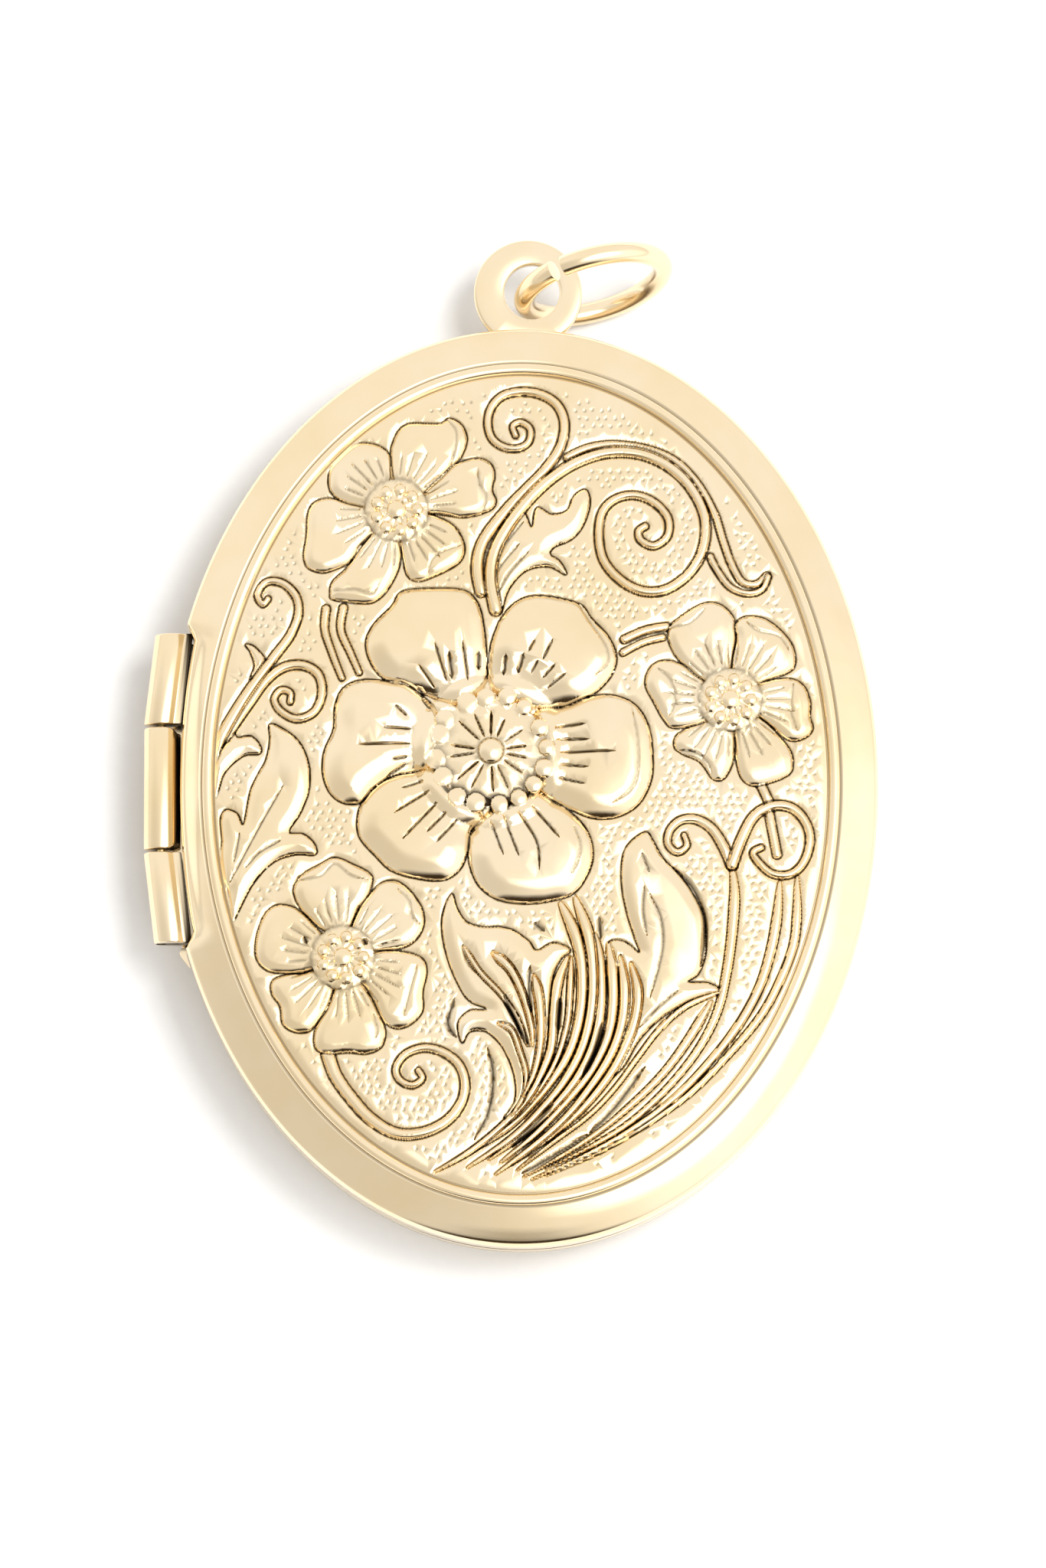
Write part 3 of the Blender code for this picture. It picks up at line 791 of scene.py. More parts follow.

# The three small flowers. Each petal is creased by a fan of short cuts from the heart, painted dark as
# shade.
UPPER_PETALS = [
    [
        (-4.9, 11.3), (-4.95, 12.45), (-4.7, 13.3), (-4.25, 13.7), (-3.1, 13.7), (-2.7, 13.9),
        (-2.25, 13.65), (-2.05, 13.1), (-2.25, 12.45), (-2.65, 11.95), (-3.55, 11),
    ],
    [
        (-3.65, 11), (-2.95, 11.7), (-2.45, 12.15), (-1.65, 12.35), (-1.15, 12.15), (-1, 11.7),
        (-1.1, 11.15), (-0.95, 10.7), (-1.2, 10.35), (-2.15, 10.1), (-3.15, 10.25), (-4, 10.25),
    ],
    [
        (-4.2, 10.35), (-3.15, 10.1), (-2.55, 9.75), (-2.2, 9.2), (-2.15, 8.7), (-2.45, 8.25),
        (-3.35, 7.8), (-3.9, 7.65), (-4.3, 7.9), (-4.5, 8.75), (-4.8, 9.8),
    ],
    [
        (-4.7, 9.8), (-4.55, 8.85), (-4.6, 8.2), (-4.95, 7.45), (-5.4, 6.95), (-5.9, 6.8),
        (-7.05, 6.95), (-7.2, 7.2), (-7.1, 7.65), (-6.55, 8.2), (-6.1, 8.95), (-5.35, 9.8),
    ],
    [
        (-5.35, 9.9), (-6.1, 8.9), (-6.45, 8.4), (-6.95, 8.15), (-7.5, 8), (-8.05, 8.2), (-8.2, 8.7),
        (-8.1, 9.4), (-8.05, 10.25), (-7.8, 10.7), (-7.2, 10.85), (-6.4, 10.65), (-5.45, 10.45),
    ],
    [
        (-5.35, 10.45), (-6.3, 10.6), (-6.95, 10.85), (-7.25, 11.3), (-7.2, 12.05), (-6.8, 12.6),
        (-6.2, 12.95), (-5.5, 12.9), (-5, 12.55), (-4.9, 11.95), (-4.8, 10.9),
    ],
]

RIGHT_PETALS = [
    [
        (7.55, 3.55), (6.65, 3.95), (6.1, 4.45), (5.7, 5.05), (5.55, 5.6), (5.7, 6), (6.2, 6.4),
        (6.9, 6.8), (7.55, 6.75), (8.05, 6.2), (8.1, 5.45), (7.95, 4.6), (7.9, 3.65),
    ],
    [
        (7.95, 3.65), (8, 4.6), (8.15, 5.45), (8.1, 6), (8.45, 6.3), (9.15, 6.25), (9.8, 5.8),
        (10.25, 5.2), (10.35, 4.55), (10.1, 4.2), (9.35, 3.9), (8.3, 3.35),
    ],
    [
        (8.3, 3.35), (9.15, 3.8), (10.1, 3.95), (10.65, 3.7), (10.9, 3.1), (10.9, 2.5), (11, 2.05),
        (10.7, 1.7), (10.15, 1.6), (9.55, 2), (8.95, 2.5), (8.2, 2.9),
    ],
    [
        (8.2, 2.9), (9.05, 2.4), (9.65, 1.85), (10.15, 1.2), (10.25, 0.7), (10.1, 0.3), (9.45, 0),
        (8.8, -0.15), (8.35, 0.1), (8.15, 0.65), (8.05, 1.4), (8, 2.4),
    ],
    [
        (7.95, 2.6), (8.05, 1.55), (8, 0.8), (7.75, 0.25), (7.5, 0.05), (7.2, 0.15), (6.75, 0.75),
        (6.1, 1.05), (5.8, 1.3), (5.85, 1.7), (6.3, 2.05), (7.1, 2.4), (7.75, 2.9),
    ],
    [
        (7.75, 3.25), (7.1, 2.4), (6.4, 2.1), (5.7, 2.05), (5.35, 2.4), (5.05, 2.95), (4.7, 3.7),
        (4.9, 4.35), (5.4, 4.6), (6.1, 4.45), (6.7, 3.95), (7.65, 3.45),
    ],
]

LOWER_PETALS = [
    [
        (-6.7, -6.15), (-7.85, -5.3), (-8.3, -4.8), (-8.55, -4.1), (-8.25, -3.55), (-7.55, -3.15),
        (-7, -2.9), (-6.35, -3.15), (-5.7, -3.5), (-5.6, -3.85), (-5.8, -4.45), (-6.2, -5),
        (-6.5, -5.95),
    ],
    [
        (-6.5, -6.05), (-6.15, -5), (-5.75, -4.4), (-5.3, -3.9), (-4.7, -3.8), (-4.15, -4.2),
        (-3.75, -4.8), (-3.65, -5.4), (-3.9, -5.95), (-4.4, -6.3), (-5.25, -6.45), (-6.1, -6.6),
    ],
    [
        (-6.2, -6.7), (-5.25, -6.45), (-4.3, -6.5), (-3.7, -6.75), (-3.55, -7.25), (-3.7, -8),
        (-3.7, -8.7), (-4.15, -9.2), (-4.7, -9.35), (-5.25, -9), (-5.65, -8.15), (-6.3, -7.2),
    ],
    [
        (-6.4, -7.2), (-5.7, -8.1), (-5.35, -8.8), (-5.1, -9.45), (-5.25, -10.05), (-5.8, -10.3),
        (-6.5, -10.25), (-7.25, -10.3), (-7.7, -10.1), (-7.75, -9.5), (-7.5, -8.8), (-7.2, -8.3),
        (-6.8, -7.4),
    ],
    [
        (-6.95, -7.2), (-7.2, -8.4), (-7.6, -9.05), (-8, -9.45), (-8.55, -9.45), (-8.95, -9.15),
        (-9.05, -8.5), (-9.35, -8.05), (-9.35, -7.55), (-8.8, -7.3), (-8.1, -7.25), (-7.15, -6.9),
    ],
    [
        (-7.05, -6.8), (-8.15, -7.2), (-8.95, -7.25), (-9.6, -7.1), (-9.95, -6.65), (-9.95, -5.95),
        (-9.7, -5.15), (-9.25, -4.7), (-8.6, -4.75), (-8.1, -5.1), (-7.75, -5.5), (-6.95, -6.35),
    ],
]

SMALL_FLOWERS = (
    ((-4.7, 10.35), UPPER_PETALS),
    ((7.9, 3.1), RIGHT_PETALS),
    ((-6.7, -6.7), LOWER_PETALS),
)
SMALL_HEIGHT, SMALL_EDGE = 0.2, 0.4
SMALL_HEART, SMALL_HEART_HEIGHT = 1.2, 0.3
FAN_ANGLE, FAN_START, FAN_END, FAN_SHORTENS = 0.2, 1.35, 2.5, 0.18
FAN_HALF, FAN_DEPTH, FAN_DARK = 0.07, 0.06, 0.6
SMALL_BEADS, SMALL_BEAD_RING, SMALL_BEAD_RADIUS = 9, 0.78, 0.22
SMALL_BOSS_RADIUS = 0.36


def from_heart(heart):
    """How far each of the panel's points is from a flower's heart, and in which direction."""
    offset = panel - heart
    return np.hypot(*offset.T), np.arctan2(offset[:, 1], offset[:, 0])


def towards_angle(angle):
    """A step of length one in the direction of an angle."""
    return np.array((math.cos(angle), math.sin(angle)))


def ball(radius, gap):
    """How high a ball of this radius stands at each distance from its middle."""
    return np.sqrt(np.maximum(0, radius**2 - gap**2))


def mound(inner, height):
    """Presses what a mask covers up to a height, and clears what was dark there."""
    relief[inner] = height[inner]
    painted_shade[inner] = 0


for heart, petals in SMALL_FLOWERS:
    for outline in petals:
        strike_shape(outline, SMALL_HEIGHT, SMALL_EDGE)
        centre = np.mean(outline, axis=0)
        way = math.atan2(centre[1] - heart[1], centre[0] - heart[0])
        for step in range(-2, 3):
            ray = towards_angle(way + FAN_ANGLE * step)
            far = FAN_END - FAN_SHORTENS * abs(step)
            cut([heart + ray * FAN_START, heart + ray * far], FAN_HALF, FAN_DEPTH, FAN_DARK)
    distance, direction = from_heart(heart)
    rough = 0.03 * np.sin(13 * direction + 4 * distance)
    soft_edge = 0.1 * (distance / SMALL_HEART) ** 4
    mound(distance < SMALL_HEART, SMALL_HEART_HEIGHT + rough - soft_edge)
    for bead in range(SMALL_BEADS):
        spot = np.array(heart) + SMALL_BEAD_RING * towards_angle(math.tau * bead / SMALL_BEADS)
        gap = np.hypot(*(panel - spot).T)
        rise = 0.6 * ball(SMALL_BEAD_RADIUS, gap)
        mound(gap < SMALL_BEAD_RADIUS, SMALL_HEART_HEIGHT + rise)
    boss = 0.5 * ball(SMALL_BOSS_RADIUS, distance)
    mound(distance < SMALL_BOSS_RADIUS, SMALL_HEART_HEIGHT + boss)
    # A ring of painted shade round each heart.
    painted_shade[np.abs(distance - SMALL_HEART) < 0.06] = 0.5

# Folded edges of the small petals and of the big ones.
FOLDS = [
    [(-2.85, 13.9), (-2.45, 13.4), (-2.5, 12.7), (-2.65, 12.1)],
    [(-1.65, 11.95), (-1.55, 11.3), (-1.3, 10.9), (-1.45, 10.35)],
    [(-2.25, 9), (-2.95, 8.75), (-3.35, 8.45), (-3.5, 7.9)],
    [(-7.05, 7.25), (-6.3, 7.3), (-5.65, 7.15), (-5.4, 7.45)],
    [(5.65, 5.85), (6.4, 6.05), (7, 6.65)],
    [(8.5, 6.1), (8.95, 5.75), (9.75, 5.55), (10.15, 4.95)],
    [(10.3, 3.8), (10.2, 3.1), (10.25, 2.4), (10.45, 1.9)],
    [(5.15, 4.3), (5.65, 3.8), (5.8, 3), (5.55, 2.4)],
    [(6, 1.15), (6.6, 1.05), (7.05, 0.7), (7.2, 0.25)],
    [(-8.35, -3.75), (-7.55, -3.6), (-7, -3.15), (-6.4, -3.6), (-5.75, -3.75)],
    [(-4.65, -4.1), (-4.2, -4.55), (-4.1, -5.15), (-3.75, -5.45)],
    [(-3.9, -7), (-4.15, -7.85), (-4.4, -8.9)],
    [(-5.55, -8.8), (-5.4, -9.35), (-5.45, -9.75)],
    [(2.2, 6.7), (2.75, 5.85), (3.25, 5.05), (3.25, 4.45), (2.8, 4)],
    [(4.2, 2.75), (4.4, 1.6), (4.4, 0.3), (4.1, -0.4), (3.4, -0.9)],
    [(2, -1.75), (2.25, -2.45), (2.1, -3.15), (1.9, -3.55)],
]

# Pockets between the leaves and the strands, cut deep and painted black as shade.
POCKETS = [
    [(5.7, -3.25), (6.4, -3.95), (6.9, -5.05), (6.9, -6.15), (6.75, -7.05)],
    [(0.35, -7.05), (0.3, -7.9), (0.4, -8.8)],
    [(-0.65, -8.15), (-0.15, -9.2), (0.35, -10.1)],
    [(-1.25, -10.1), (-1.05, -11.1), (-1.2, -12.4), (-1.75, -13.55)],
    [(-2.5, -8.25), (-2.75, -9.15), (-2.4, -9.75)],
    [(0.5, -5.4), (0.9, -5.7)],
    [(2.95, -5.15), (3, -6)],
    [(0.05, -14.8), (1.4, -14.05), (2.5, -13.35)],
    [(2.6, -13.3), (3.6, -12.25), (4.7, -10.75)],
    [(1.45, -8.25), (1.4, -9.5)],
    [(3.05, -9.2), (2.75, -10.3), (2.3, -11.25)],
    [(1.2, -12.25), (0.55, -13), (-0.35, -13.85)],
    [(-5.8, -6.2), (-5.95, -6)],
    [(-8.05, -6.15), (-8.15, -5.9)],
]

# The big flower: six broad petals, each a pillow that dips towards the heart.
BIG_HEART = np.array((-1.13, 1.1))
BIG_HEIGHT, BIG_EDGE = 0.42, 0.9
DIP_START, DIP_END, DIP_DEPTH = 4.1, 2.7, 0.28
BIG_PETALS = [
    [
        (-1.3, 3.8), (-1.3, 4.7), (-1.4, 5.8), (-1.6, 6.7), (-2.1, 7.25), (-3.15, 7.35), (-4.45, 7.25),
        (-4.85, 6.7), (-5.45, 6.1), (-5.8, 5.5), (-5.8, 4.9), (-5.45, 4.2), (-4.85, 3.7), (-4.2, 3.6),
        (-3.35, 3.2), (-2.1, 2.85),
    ],
    [
        (-1.2, 3.8), (-1.2, 4.7), (-1, 5.6), (-0.6, 6.4), (0.05, 6.95), (0.9, 7.05), (2.2, 6.75),
        (2.65, 6.2), (3.3, 5.5), (3.6, 4.7), (3.35, 3.95), (2.65, 3.25), (1.7, 2.85), (0.75, 2.75),
        (-0.15, 2.85), (-0.85, 3.2),
    ],
    [
        (0.75, 2.75), (1.7, 2.85), (2.6, 3.2), (3.5, 3.25), (4.3, 2.9), (4.8, 2.1), (4.95, 1.05),
        (4.9, 0.05), (4.45, -0.85), (3.65, -1.35), (2.7, -1.4), (1.7, -1), (0.95, -0.6), (0.4, 0.15),
        (0.3, 1.4), (0.4, 2.3),
    ],
    [
        (0.95, -0.6), (1.8, -1.15), (2.45, -1.85), (2.7, -2.65), (2.55, -3.45), (2, -4.25),
        (1.1, -4.55), (0.15, -4.65), (-0.85, -4.5), (-1.55, -4), (-1.9, -3.25), (-2, -2.45),
        (-1.85, -1.85), (-1.45, -1.4), (-0.65, -0.65), (0.3, -0.3),
    ],
    [
        (-1.45, -1.4), (-1.9, -1.85), (-2, -2.65), (-2.3, -3.35), (-2.9, -3.75), (-3.85, -3.7),
        (-4.85, -3.4), (-5.45, -2.85), (-6.05, -2.15), (-6.15, -1.45), (-5.95, -0.75), (-5.35, -0.1),
        (-4.65, 0.25), (-3.95, 0.4), (-2.95, 0.5), (-1.9, -0.4),
    ],
    [
        (-4.2, 3.6), (-5, 3.8), (-6, 3.85), (-6.7, 3.55), (-7, 2.85), (-7.05, 2), (-7.4, 1.15),
        (-7.45, 0.3), (-7.2, -0.4), (-6.7, -0.8), (-6.05, -0.8), (-5.55, -0.25), (-4.85, 0.2),
        (-3.95, 0.4), (-2.95, 0.85), (-3.05, 2.45),
    ],
]

CREASES = [
    [(1.3, 2), (2.45, 2.15)],
    [(1.35, 1.55), (2.6, 1.55)],
    [(1.5, 1.05), (3.6, 1.1)],
    [(1.45, 0.6), (2.55, 0.5)],
    [(1.4, 0.1), (2.45, -0.15)],
    [(-1.15, -1.5), (-0.65, -2.85)],
    [(-0.65, -1.35), (-0.05, -2.95)],
    [(-0.1, -1.2), (0.6, -2.35), (0.7, -3.45)],
    [(0.45, -1), (1.45, -2.2)],
    [(-3.45, -0.4), (-4.75, -1.25)],
    [(-3.15, -0.85), (-4.45, -2.25)],
    [(-2.8, -1.2), (-3.55, -2)],
    [(-2.45, -1.55), (-3.2, -2.4)],
    [(-3.7, 0), (-4.5, -0.3)],
    [(-4.15, 1.95), (-5.2, 2)],
    [(-4.2, 1.4), (-6.2, 1.35)],
    [(-4.3, 0.9), (-4.85, 0.8)],
    [(-4.3, 2.45), (-4.75, 2.85)],
    [(-4.35, 0.65), (-5.05, 0.15)],
    [(-3.25, 3.55), (-3.85, 4.4)],
    [(-2.8, 3.8), (-3.25, 5.25)],
    [(-2, 3.85), (-2.2, 5.3)],
    [(0.4, 4.1), (0.65, 4.55)],
    [(0.3, 4.9), (0.55, 5.35)],
    [(0.85, 4.6), (1.2, 5.35)],
    [(0.85, 3.9), (1.3, 4.4)],
    [(1, 3.5), (1.7, 4.05)],
]

DEEP_CREASES = [
    [(-3.85, 3.55), (-3.65, 3.2)],
    [(-2.6, 3.9), (-2.7, 4.9)],
    [(-1.6, 4.25), (-1.6, 4.9)],
    [(-0.65, 4.05), (-0.55, 4.8)],
    [(-0.1, 4.1), (0.1, 4.8)],
]

# How each kind of line is cut into the petals: half its width, its depth, and how dark it is painted
# as shade.
CREASE_CUT, DEEP_CUT, FOLD_CUT, POCKET_CUT = (
    (0.08, 0.11, 1.0), (0.13, 0.16, 1.0), (0.09, 0.07, 0.5), (0.15, 0.12, 1.0)
)
distance, direction = from_heart(BIG_HEART)
for outline in BIG_PETALS:
    spots, gap = strike_shape(outline, BIG_HEIGHT, BIG_EDGE, dark=1.0)
    dip = np.clip((DIP_START - distance[spots]) / (DIP_START - DIP_END), 0, 1)
    relief[spots] -= DIP_DEPTH * dip * dip * (3 - 2 * dip)
for lines, (half, depth, dark) in (
    (CREASES, CREASE_CUT),
    (DEEP_CREASES, DEEP_CUT),
    (FOLDS, FOLD_CUT),
    (POCKETS, POCKET_CUT),
):
    for points in lines:
        cut(points, half, depth, dark)

# Its heart: a soft collar, fuller on the left, a ring of uneven beads half sunk in it, a bright
# disc with radial cuts, and a round boss.
COLLAR_RADIUS, COLLAR_HALF, COLLAR_HEIGHT, COLLAR_FULLER = 2.45, 0.5, 0.17, 0.07
BEADS, BEAD_RING, BEAD_RADIUS = 16, 2.1, 0.34
DISC_RADIUS, DISC_HEIGHT, DISC_DOME, BOSS_RADIUS = 1.85, 0.16, 0.14, 0.5
DISC_RAYS, RAY_START, RAY_END = 14, 0.6, 1.5
RAY_HALF, RAY_DEPTH = 0.07, 0.13
HEART_REACH = 3.0
collar = np.clip(1 - ((distance - COLLAR_RADIUS) / COLLAR_HALF) ** 2, 0, 1)
fuller = COLLAR_HEIGHT - COLLAR_FULLER * np.cos(direction)
relief += fuller * collar
painted_shade *= 1 - 0.85 * collar
mound(distance < BEAD_RING, DISC_HEIGHT + DISC_DOME * (1 - (distance / DISC_RADIUS) ** 2))
uneven = np.random.default_rng(3).uniform(-1, 1, (BEADS, 4))
for bead, (sideways, bigger, taller, inward) in zip(range(BEADS), uneven):
    angle = math.tau * (bead + 0.3 + 0.15 * sideways) / BEADS
    spot = BIG_HEART + (BEAD_RING + 0.08 * inward) * towards_angle(angle)
    gap = np.hypot(*(panel - spot).T)
    radius = BEAD_RADIUS + 0.05 * bigger
    # Painted shade rings the beads, darkest round the lowest ones.
    below = max(0, 0.5 - 0.5 * math.sin(angle))
    rim = (gap > radius - 0.02) & (gap < radius + 0.09) & (distance < BEAD_RING + 0.2)
    painted_shade[rim] = np.maximum(painted_shade[rim], below)
    rise = (0.26 + 0.14 * taller + 0.14 * math.cos(angle)) * ball(radius, gap)
    mound(gap < radius, np.maximum(relief - 0.05, 0.2) * 0.7 + 0.05 + rise)
for ray, (sideways, longer, _, deeper) in zip(range(DISC_RAYS), uneven):
    way = towards_angle(math.tau * (ray + 0.5 + 0.2 * sideways) / DISC_RAYS)
    ends = [BIG_HEART + way * RAY_START, BIG_HEART + way * (RAY_END + 0.2 * longer)]
    cut(ends, RAY_HALF, RAY_DEPTH + 0.04 * deeper, 1.0)
mound(distance < BOSS_RADIUS, 0.28 + 0.6 * ball(BOSS_RADIUS, distance))
# A ring of painted shade round the boss.
painted_shade[np.abs(distance - BOSS_RADIUS) < 0.05] = 0.5
clearance[distance < HEART_REACH] = 0

# The stipple: pits in staggered rows, a little out of line as a hand punch leaves them.
STIPPLE_PITCH, STIPPLE_MARGIN = 0.34, 0.26
ROW_PITCH = STIPPLE_PITCH * 0.87
PIT_RADIUS, PIT_DEPTH, PIT_DARK = 0.085, 0.035, 0.6
PUNCH_STRAYS = 0.05
MOST_PITS = 256
PLAIN_EDGE = 0.97
rows_up = np.round(panel[:, 1] / ROW_PITCH).astype(int)
stagger = np.where(rows_up % 2 == 0, 0, 0.5)
rows_across = np.round(panel[:, 0] / STIPPLE_PITCH - stagger).astype(int)
unsteady = np.random.default_rng(7).uniform(-PUNCH_STRAYS, PUNCH_STRAYS, (2, MOST_PITS, MOST_PITS))
shift = unsteady[:, rows_up % MOST_PITS, rows_across % MOST_PITS]
pit_x = (rows_across + stagger) * STIPPLE_PITCH + shift[0]
pit_y = rows_up * ROW_PITCH + shift[1]
pit_gap = np.hypot(panel[:, 0] - pit_x, panel[:, 1] - pit_y)
pit = np.clip(1 - (pit_gap / PIT_RADIUS) ** 2, 0, 1)
pit_number = (rows_up - rows_up.min()) * MOST_PITS + rows_across - rows_across.min()
room = np.full(pit_number.max() + 1, FAR_AWAY)
np.minimum.at(room, pit_number[pit > 0], np.where(reach > PLAIN_EDGE, 0, clearance)[pit > 0])
pit[room[pit_number] < STIPPLE_MARGIN] = 0
relief -= PIT_DEPTH * pit
# The pits are painted dark as shade.
painted_shade = np.maximum(painted_shade, PIT_DARK * pit)

# The relief fades out at the panel's edge, and stands on the dome.
fade = np.clip((1 - reach) / 0.012, 0, 1)
height = PANEL_TOP - PANEL_FALL * reach**2 + relief * fade
places = np.column_stack([panel, PARTING + height]) * MM
cover_panel.data.vertices.foreach_set("co", places.ravel())
# The painted shade goes on the mesh, for the gold's colour to read.
cover_panel.data.attributes.new("painted_shade", "FLOAT", "POINT").data.foreach_set("value", painted_shade * fade)
cover_panel.data.update()
thin = cover_panel.modifiers.new("thin_flat_areas", "DECIMATE")
thin.ratio = PANEL_TRIANGLES / (2 * PANEL_GRID**2)
bpy.ops.object.modifier_apply(modifier=thin.name)
struck = cover_panel.vertex_groups.new(name="struck_panel")
struck.add(range(len(cover_panel.data.vertices)), 1.0, "REPLACE")

wall = [(0.4, RIM_GAP, 1), (0.05, RIM_GAP, 1), (0, 0.1, 1), (0, 0.55, 1)]
border = flowing(
    [(0, 1, 1), (0.08, 1.2, 1), (0.3, 1.36, 0.9), (0.8, 1.66, 0.5), (1.35, 1.9, 0)], steps=3
)
# The groove and the edge inside the bead are painted dark as shade, by the fourth number of their
# rows.
groove = [(1.42, 1.88, 0, 0.6), (1.46, 1.88, 0, 0.6)]
BEAD_MIDDLE, BEAD_HALF, BEAD_BASE, BEAD_RISE = 1.67, 0.2, 1.9, 0.16
bead = [
    (BEAD_MIDDLE - BEAD_HALF * math.cos(a), BEAD_BASE + BEAD_RISE * math.sin(a), 0)
    for a in np.linspace(0, math.pi, 9)
]
edge = [(1.9, 1.87, 0, 0.5), (1.95, 1.88, 0, 0.5)]
under = [(1.45, 1.52, 0), (0.62, 1.05, 0.8), (0.4, 0.85, 1)]
rim_rows = under + wall + [tuple(row) for row in border] + groove + bead + edge
rim = draw_up("Embossed_cover", ROUND, rim_rows, up_side, joined=None)
start_shaping()
cover_panel.select_set(True)
rim.select_set(True)
bpy.context.view_layer.objects.active = rim
bpy.ops.object.join()
embossed_cover = rim
bpy.ops.object.mode_set(mode="EDIT")
bpy.ops.mesh.select_mode(type="EDGE")
shape = bmesh.from_edit_mesh(embossed_cover.data)
for item in shape.edges:
    item.select_set(False)
UNDER_MIDDLE = PARTING + 1.6
for item in shape.edges:
    item.select_set(item.is_boundary and item.verts[0].co.z > UNDER_MIDDLE * MM)
bmesh.update_edit_mesh(embossed_cover.data)
bpy.ops.mesh.bridge_edge_loops()
bpy.ops.mesh.select_all(action="DESELECT")
bpy.ops.mesh.select_non_manifold(extend=False)
bpy.ops.mesh.fill_holes(sides=0)
bpy.ops.mesh.select_all(action="SELECT")
bpy.ops.mesh.normals_make_consistent(inside=False)
bpy.ops.object.mode_set(mode="OBJECT")
bpy.ops.object.shade_smooth_by_angle(angle=math.radians(60))
# Large faces keep their own normals, so that only the walls of a crease are shaded as steep.
crisp = embossed_cover.modifiers.new("crisp_creases", "WEIGHTED_NORMAL")
crisp.keep_sharp = True
crisp.vertex_group = "struck_panel"
bpy.ops.object.modifier_apply(modifier=crisp.name)
embossed_cover.vertex_groups.clear()
embossed_gold = polished_gold("embossed_gold_filled_brass", EMBOSSED_ROUGHNESS, EMBOSSED_WAVE)
embossed_cover.data.materials.clear()
embossed_cover.data.materials.append(embossed_gold)
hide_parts("front_shell")
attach(embossed_cover, "front_cover")


# Hinge
# Three knuckles rolled from gold-filled strip, the outer two soldered to the cover and the middle
# one to the back, on a straight brass pin filed flush. The outer ones lean in with the oval's
# curve. A strip soldered along the back's wall under them bears them and ends in a small point.

PIN_X = (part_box("hinge_pin")[0].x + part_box("hinge_pin")[1].x) / 2 / MM
PIN_RADIUS = (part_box("hinge_pin")[1].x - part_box("hinge_pin")[0].x) / 2 / MM
PIN_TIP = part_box("hinge_pin")[1].y / MM
KNUCKLE_RADIUS, BORE_RADIUS = 0.67, 0.18
KNUCKLE_LEAN = 0.4
OUTER_LEAF_REACH, MIDDLE_LEAF_REACH, LEAF_TOP = 0.77, 0.71, 0.5
KNUCKLE_EASED = 0.07
ROLLED_IN = 0.12
# How far round from the wall each kind of knuckle is painted dark as shade, wider where it leans in.
LEAF_CREVICE, ROUND_CREVICE = math.radians(37), math.radians(12)
CREVICE_WIDENS = math.radians(20)


def knuckle(name, side, leaf_reach, crevice, near_end, far_end, body):
    """A rolled knuckle. side is 1 for a leaf up to the cover, -1 for one down to the back, and
    each end is (y, how far it leans in). The side by the wall, up to the crevice's angle, and the
    end faces are painted dark as shade."""

    def place(turn, row):
        y, lean, inset = row
        radius = np.full(len(turn), KNUCKLE_RADIUS)
        leaf = (turn > 0.1) & (turn < math.pi / 2)
        reach = np.minimum(leaf_reach / np.cos(turn[leaf]), LEAF_TOP / np.sin(turn[leaf]))
        radius[leaf] = np.maximum(KNUCKLE_RADIUS, reach)
        x, z = (radius - (inset or 0)) * np.cos(turn), (radius - (inset or 0)) * np.sin(turn)
        if inset is None:
            angle = np.arctan2(z, x + lean)
            x, z, lean = BORE_RADIUS * np.cos(angle), BORE_RADIUS * np.sin(angle), 0
        rolled_in = ROLLED_IN * np.maximum(0, np.cos(turn)) ** 4 if side < 0 else 0
        in_crevice = np.clip((crevice + CREVICE_WIDENS * row[1] - np.abs(turn)) / 0.07, 0, 1)
        dark = np.ones(len(turn)) if row[2] is None else in_crevice
        return PIN_X + x + lean, y * (1 - rolled_in), PARTING + side * z, dark

    (near_y, near_lean), (far_y, far_lean) = near_end, far_end
    way = math.copysign(1, far_y - near_y)
    arc = [(KNUCKLE_EASED * (1 - math.cos(a)), KNUCKLE_EASED * (1 - math.sin(a)))
           for a in np.linspace(0, math.pi / 2, 4)]
    rows = [(near_y + way * along, near_lean, inset) for along, inset in arc]
    rows += [(far_y - way * along, far_lean, inset) for along, inset in arc[::-1]]
    rows += [(far_y, far_lean, None), (near_y, near_lean, None)]
    piece = draw_up(name, 96, rows, place, joined=True)
    piece.data.materials.append(plain_gold)
    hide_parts(name.lower())
    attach(piece, body)


middle_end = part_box("hinge_knuckle_middle")[1].y / MM
inner_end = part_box("hinge_knuckle_upper")[0].y / MM
outer_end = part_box("hinge_knuckle_upper")[1].y / MM
for name, way in (("Hinge_knuckle_upper", 1), ("Hinge_knuckle_lower", -1)):
    ends = (way * inner_end, 0), (way * outer_end, KNUCKLE_LEAN)
    knuckle(name, 1, OUTER_LEAF_REACH, LEAF_CREVICE, *ends, "front_cover")
middle_ends = (-middle_end, 0), (middle_end, 0)
knuckle("Hinge_knuckle_middle", -1, MIDDLE_LEAF_REACH, ROUND_CREVICE, *middle_ends, "back_half")


def on_pin(turn, row):
    """A row of the pin: row is (y, radius)."""
    y, radius = row
    across, up = radius * np.cos(turn), radius * np.sin(turn)
    return PIN_X + across, y, PARTING + up, 0.0


pin_half = [(PIN_TIP, PIN_RADIUS - 0.04), (PIN_TIP - 0.015, PIN_RADIUS - 0.012)]
pin_half += [(PIN_TIP - 0.04, PIN_RADIUS)]
pin_rows = pin_half + [(-y, radius) for y, radius in pin_half[::-1]]
hinge_pin = draw_up("Hinge_pin", 48, pin_rows, on_pin, joined=False)
hinge_pin.data.materials.append(satin_gold)
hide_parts("hinge_pin")
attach(hinge_pin, "back_half")

for material_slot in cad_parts["hinge_bearer"].material_slots:
    material_slot.material = plain_gold


# Bail
# A flat eye stamped from 0.5 mm sheet and soldered to the top of the back's wall, its hole a
# little off the middle and its edges rounded by tumbling.

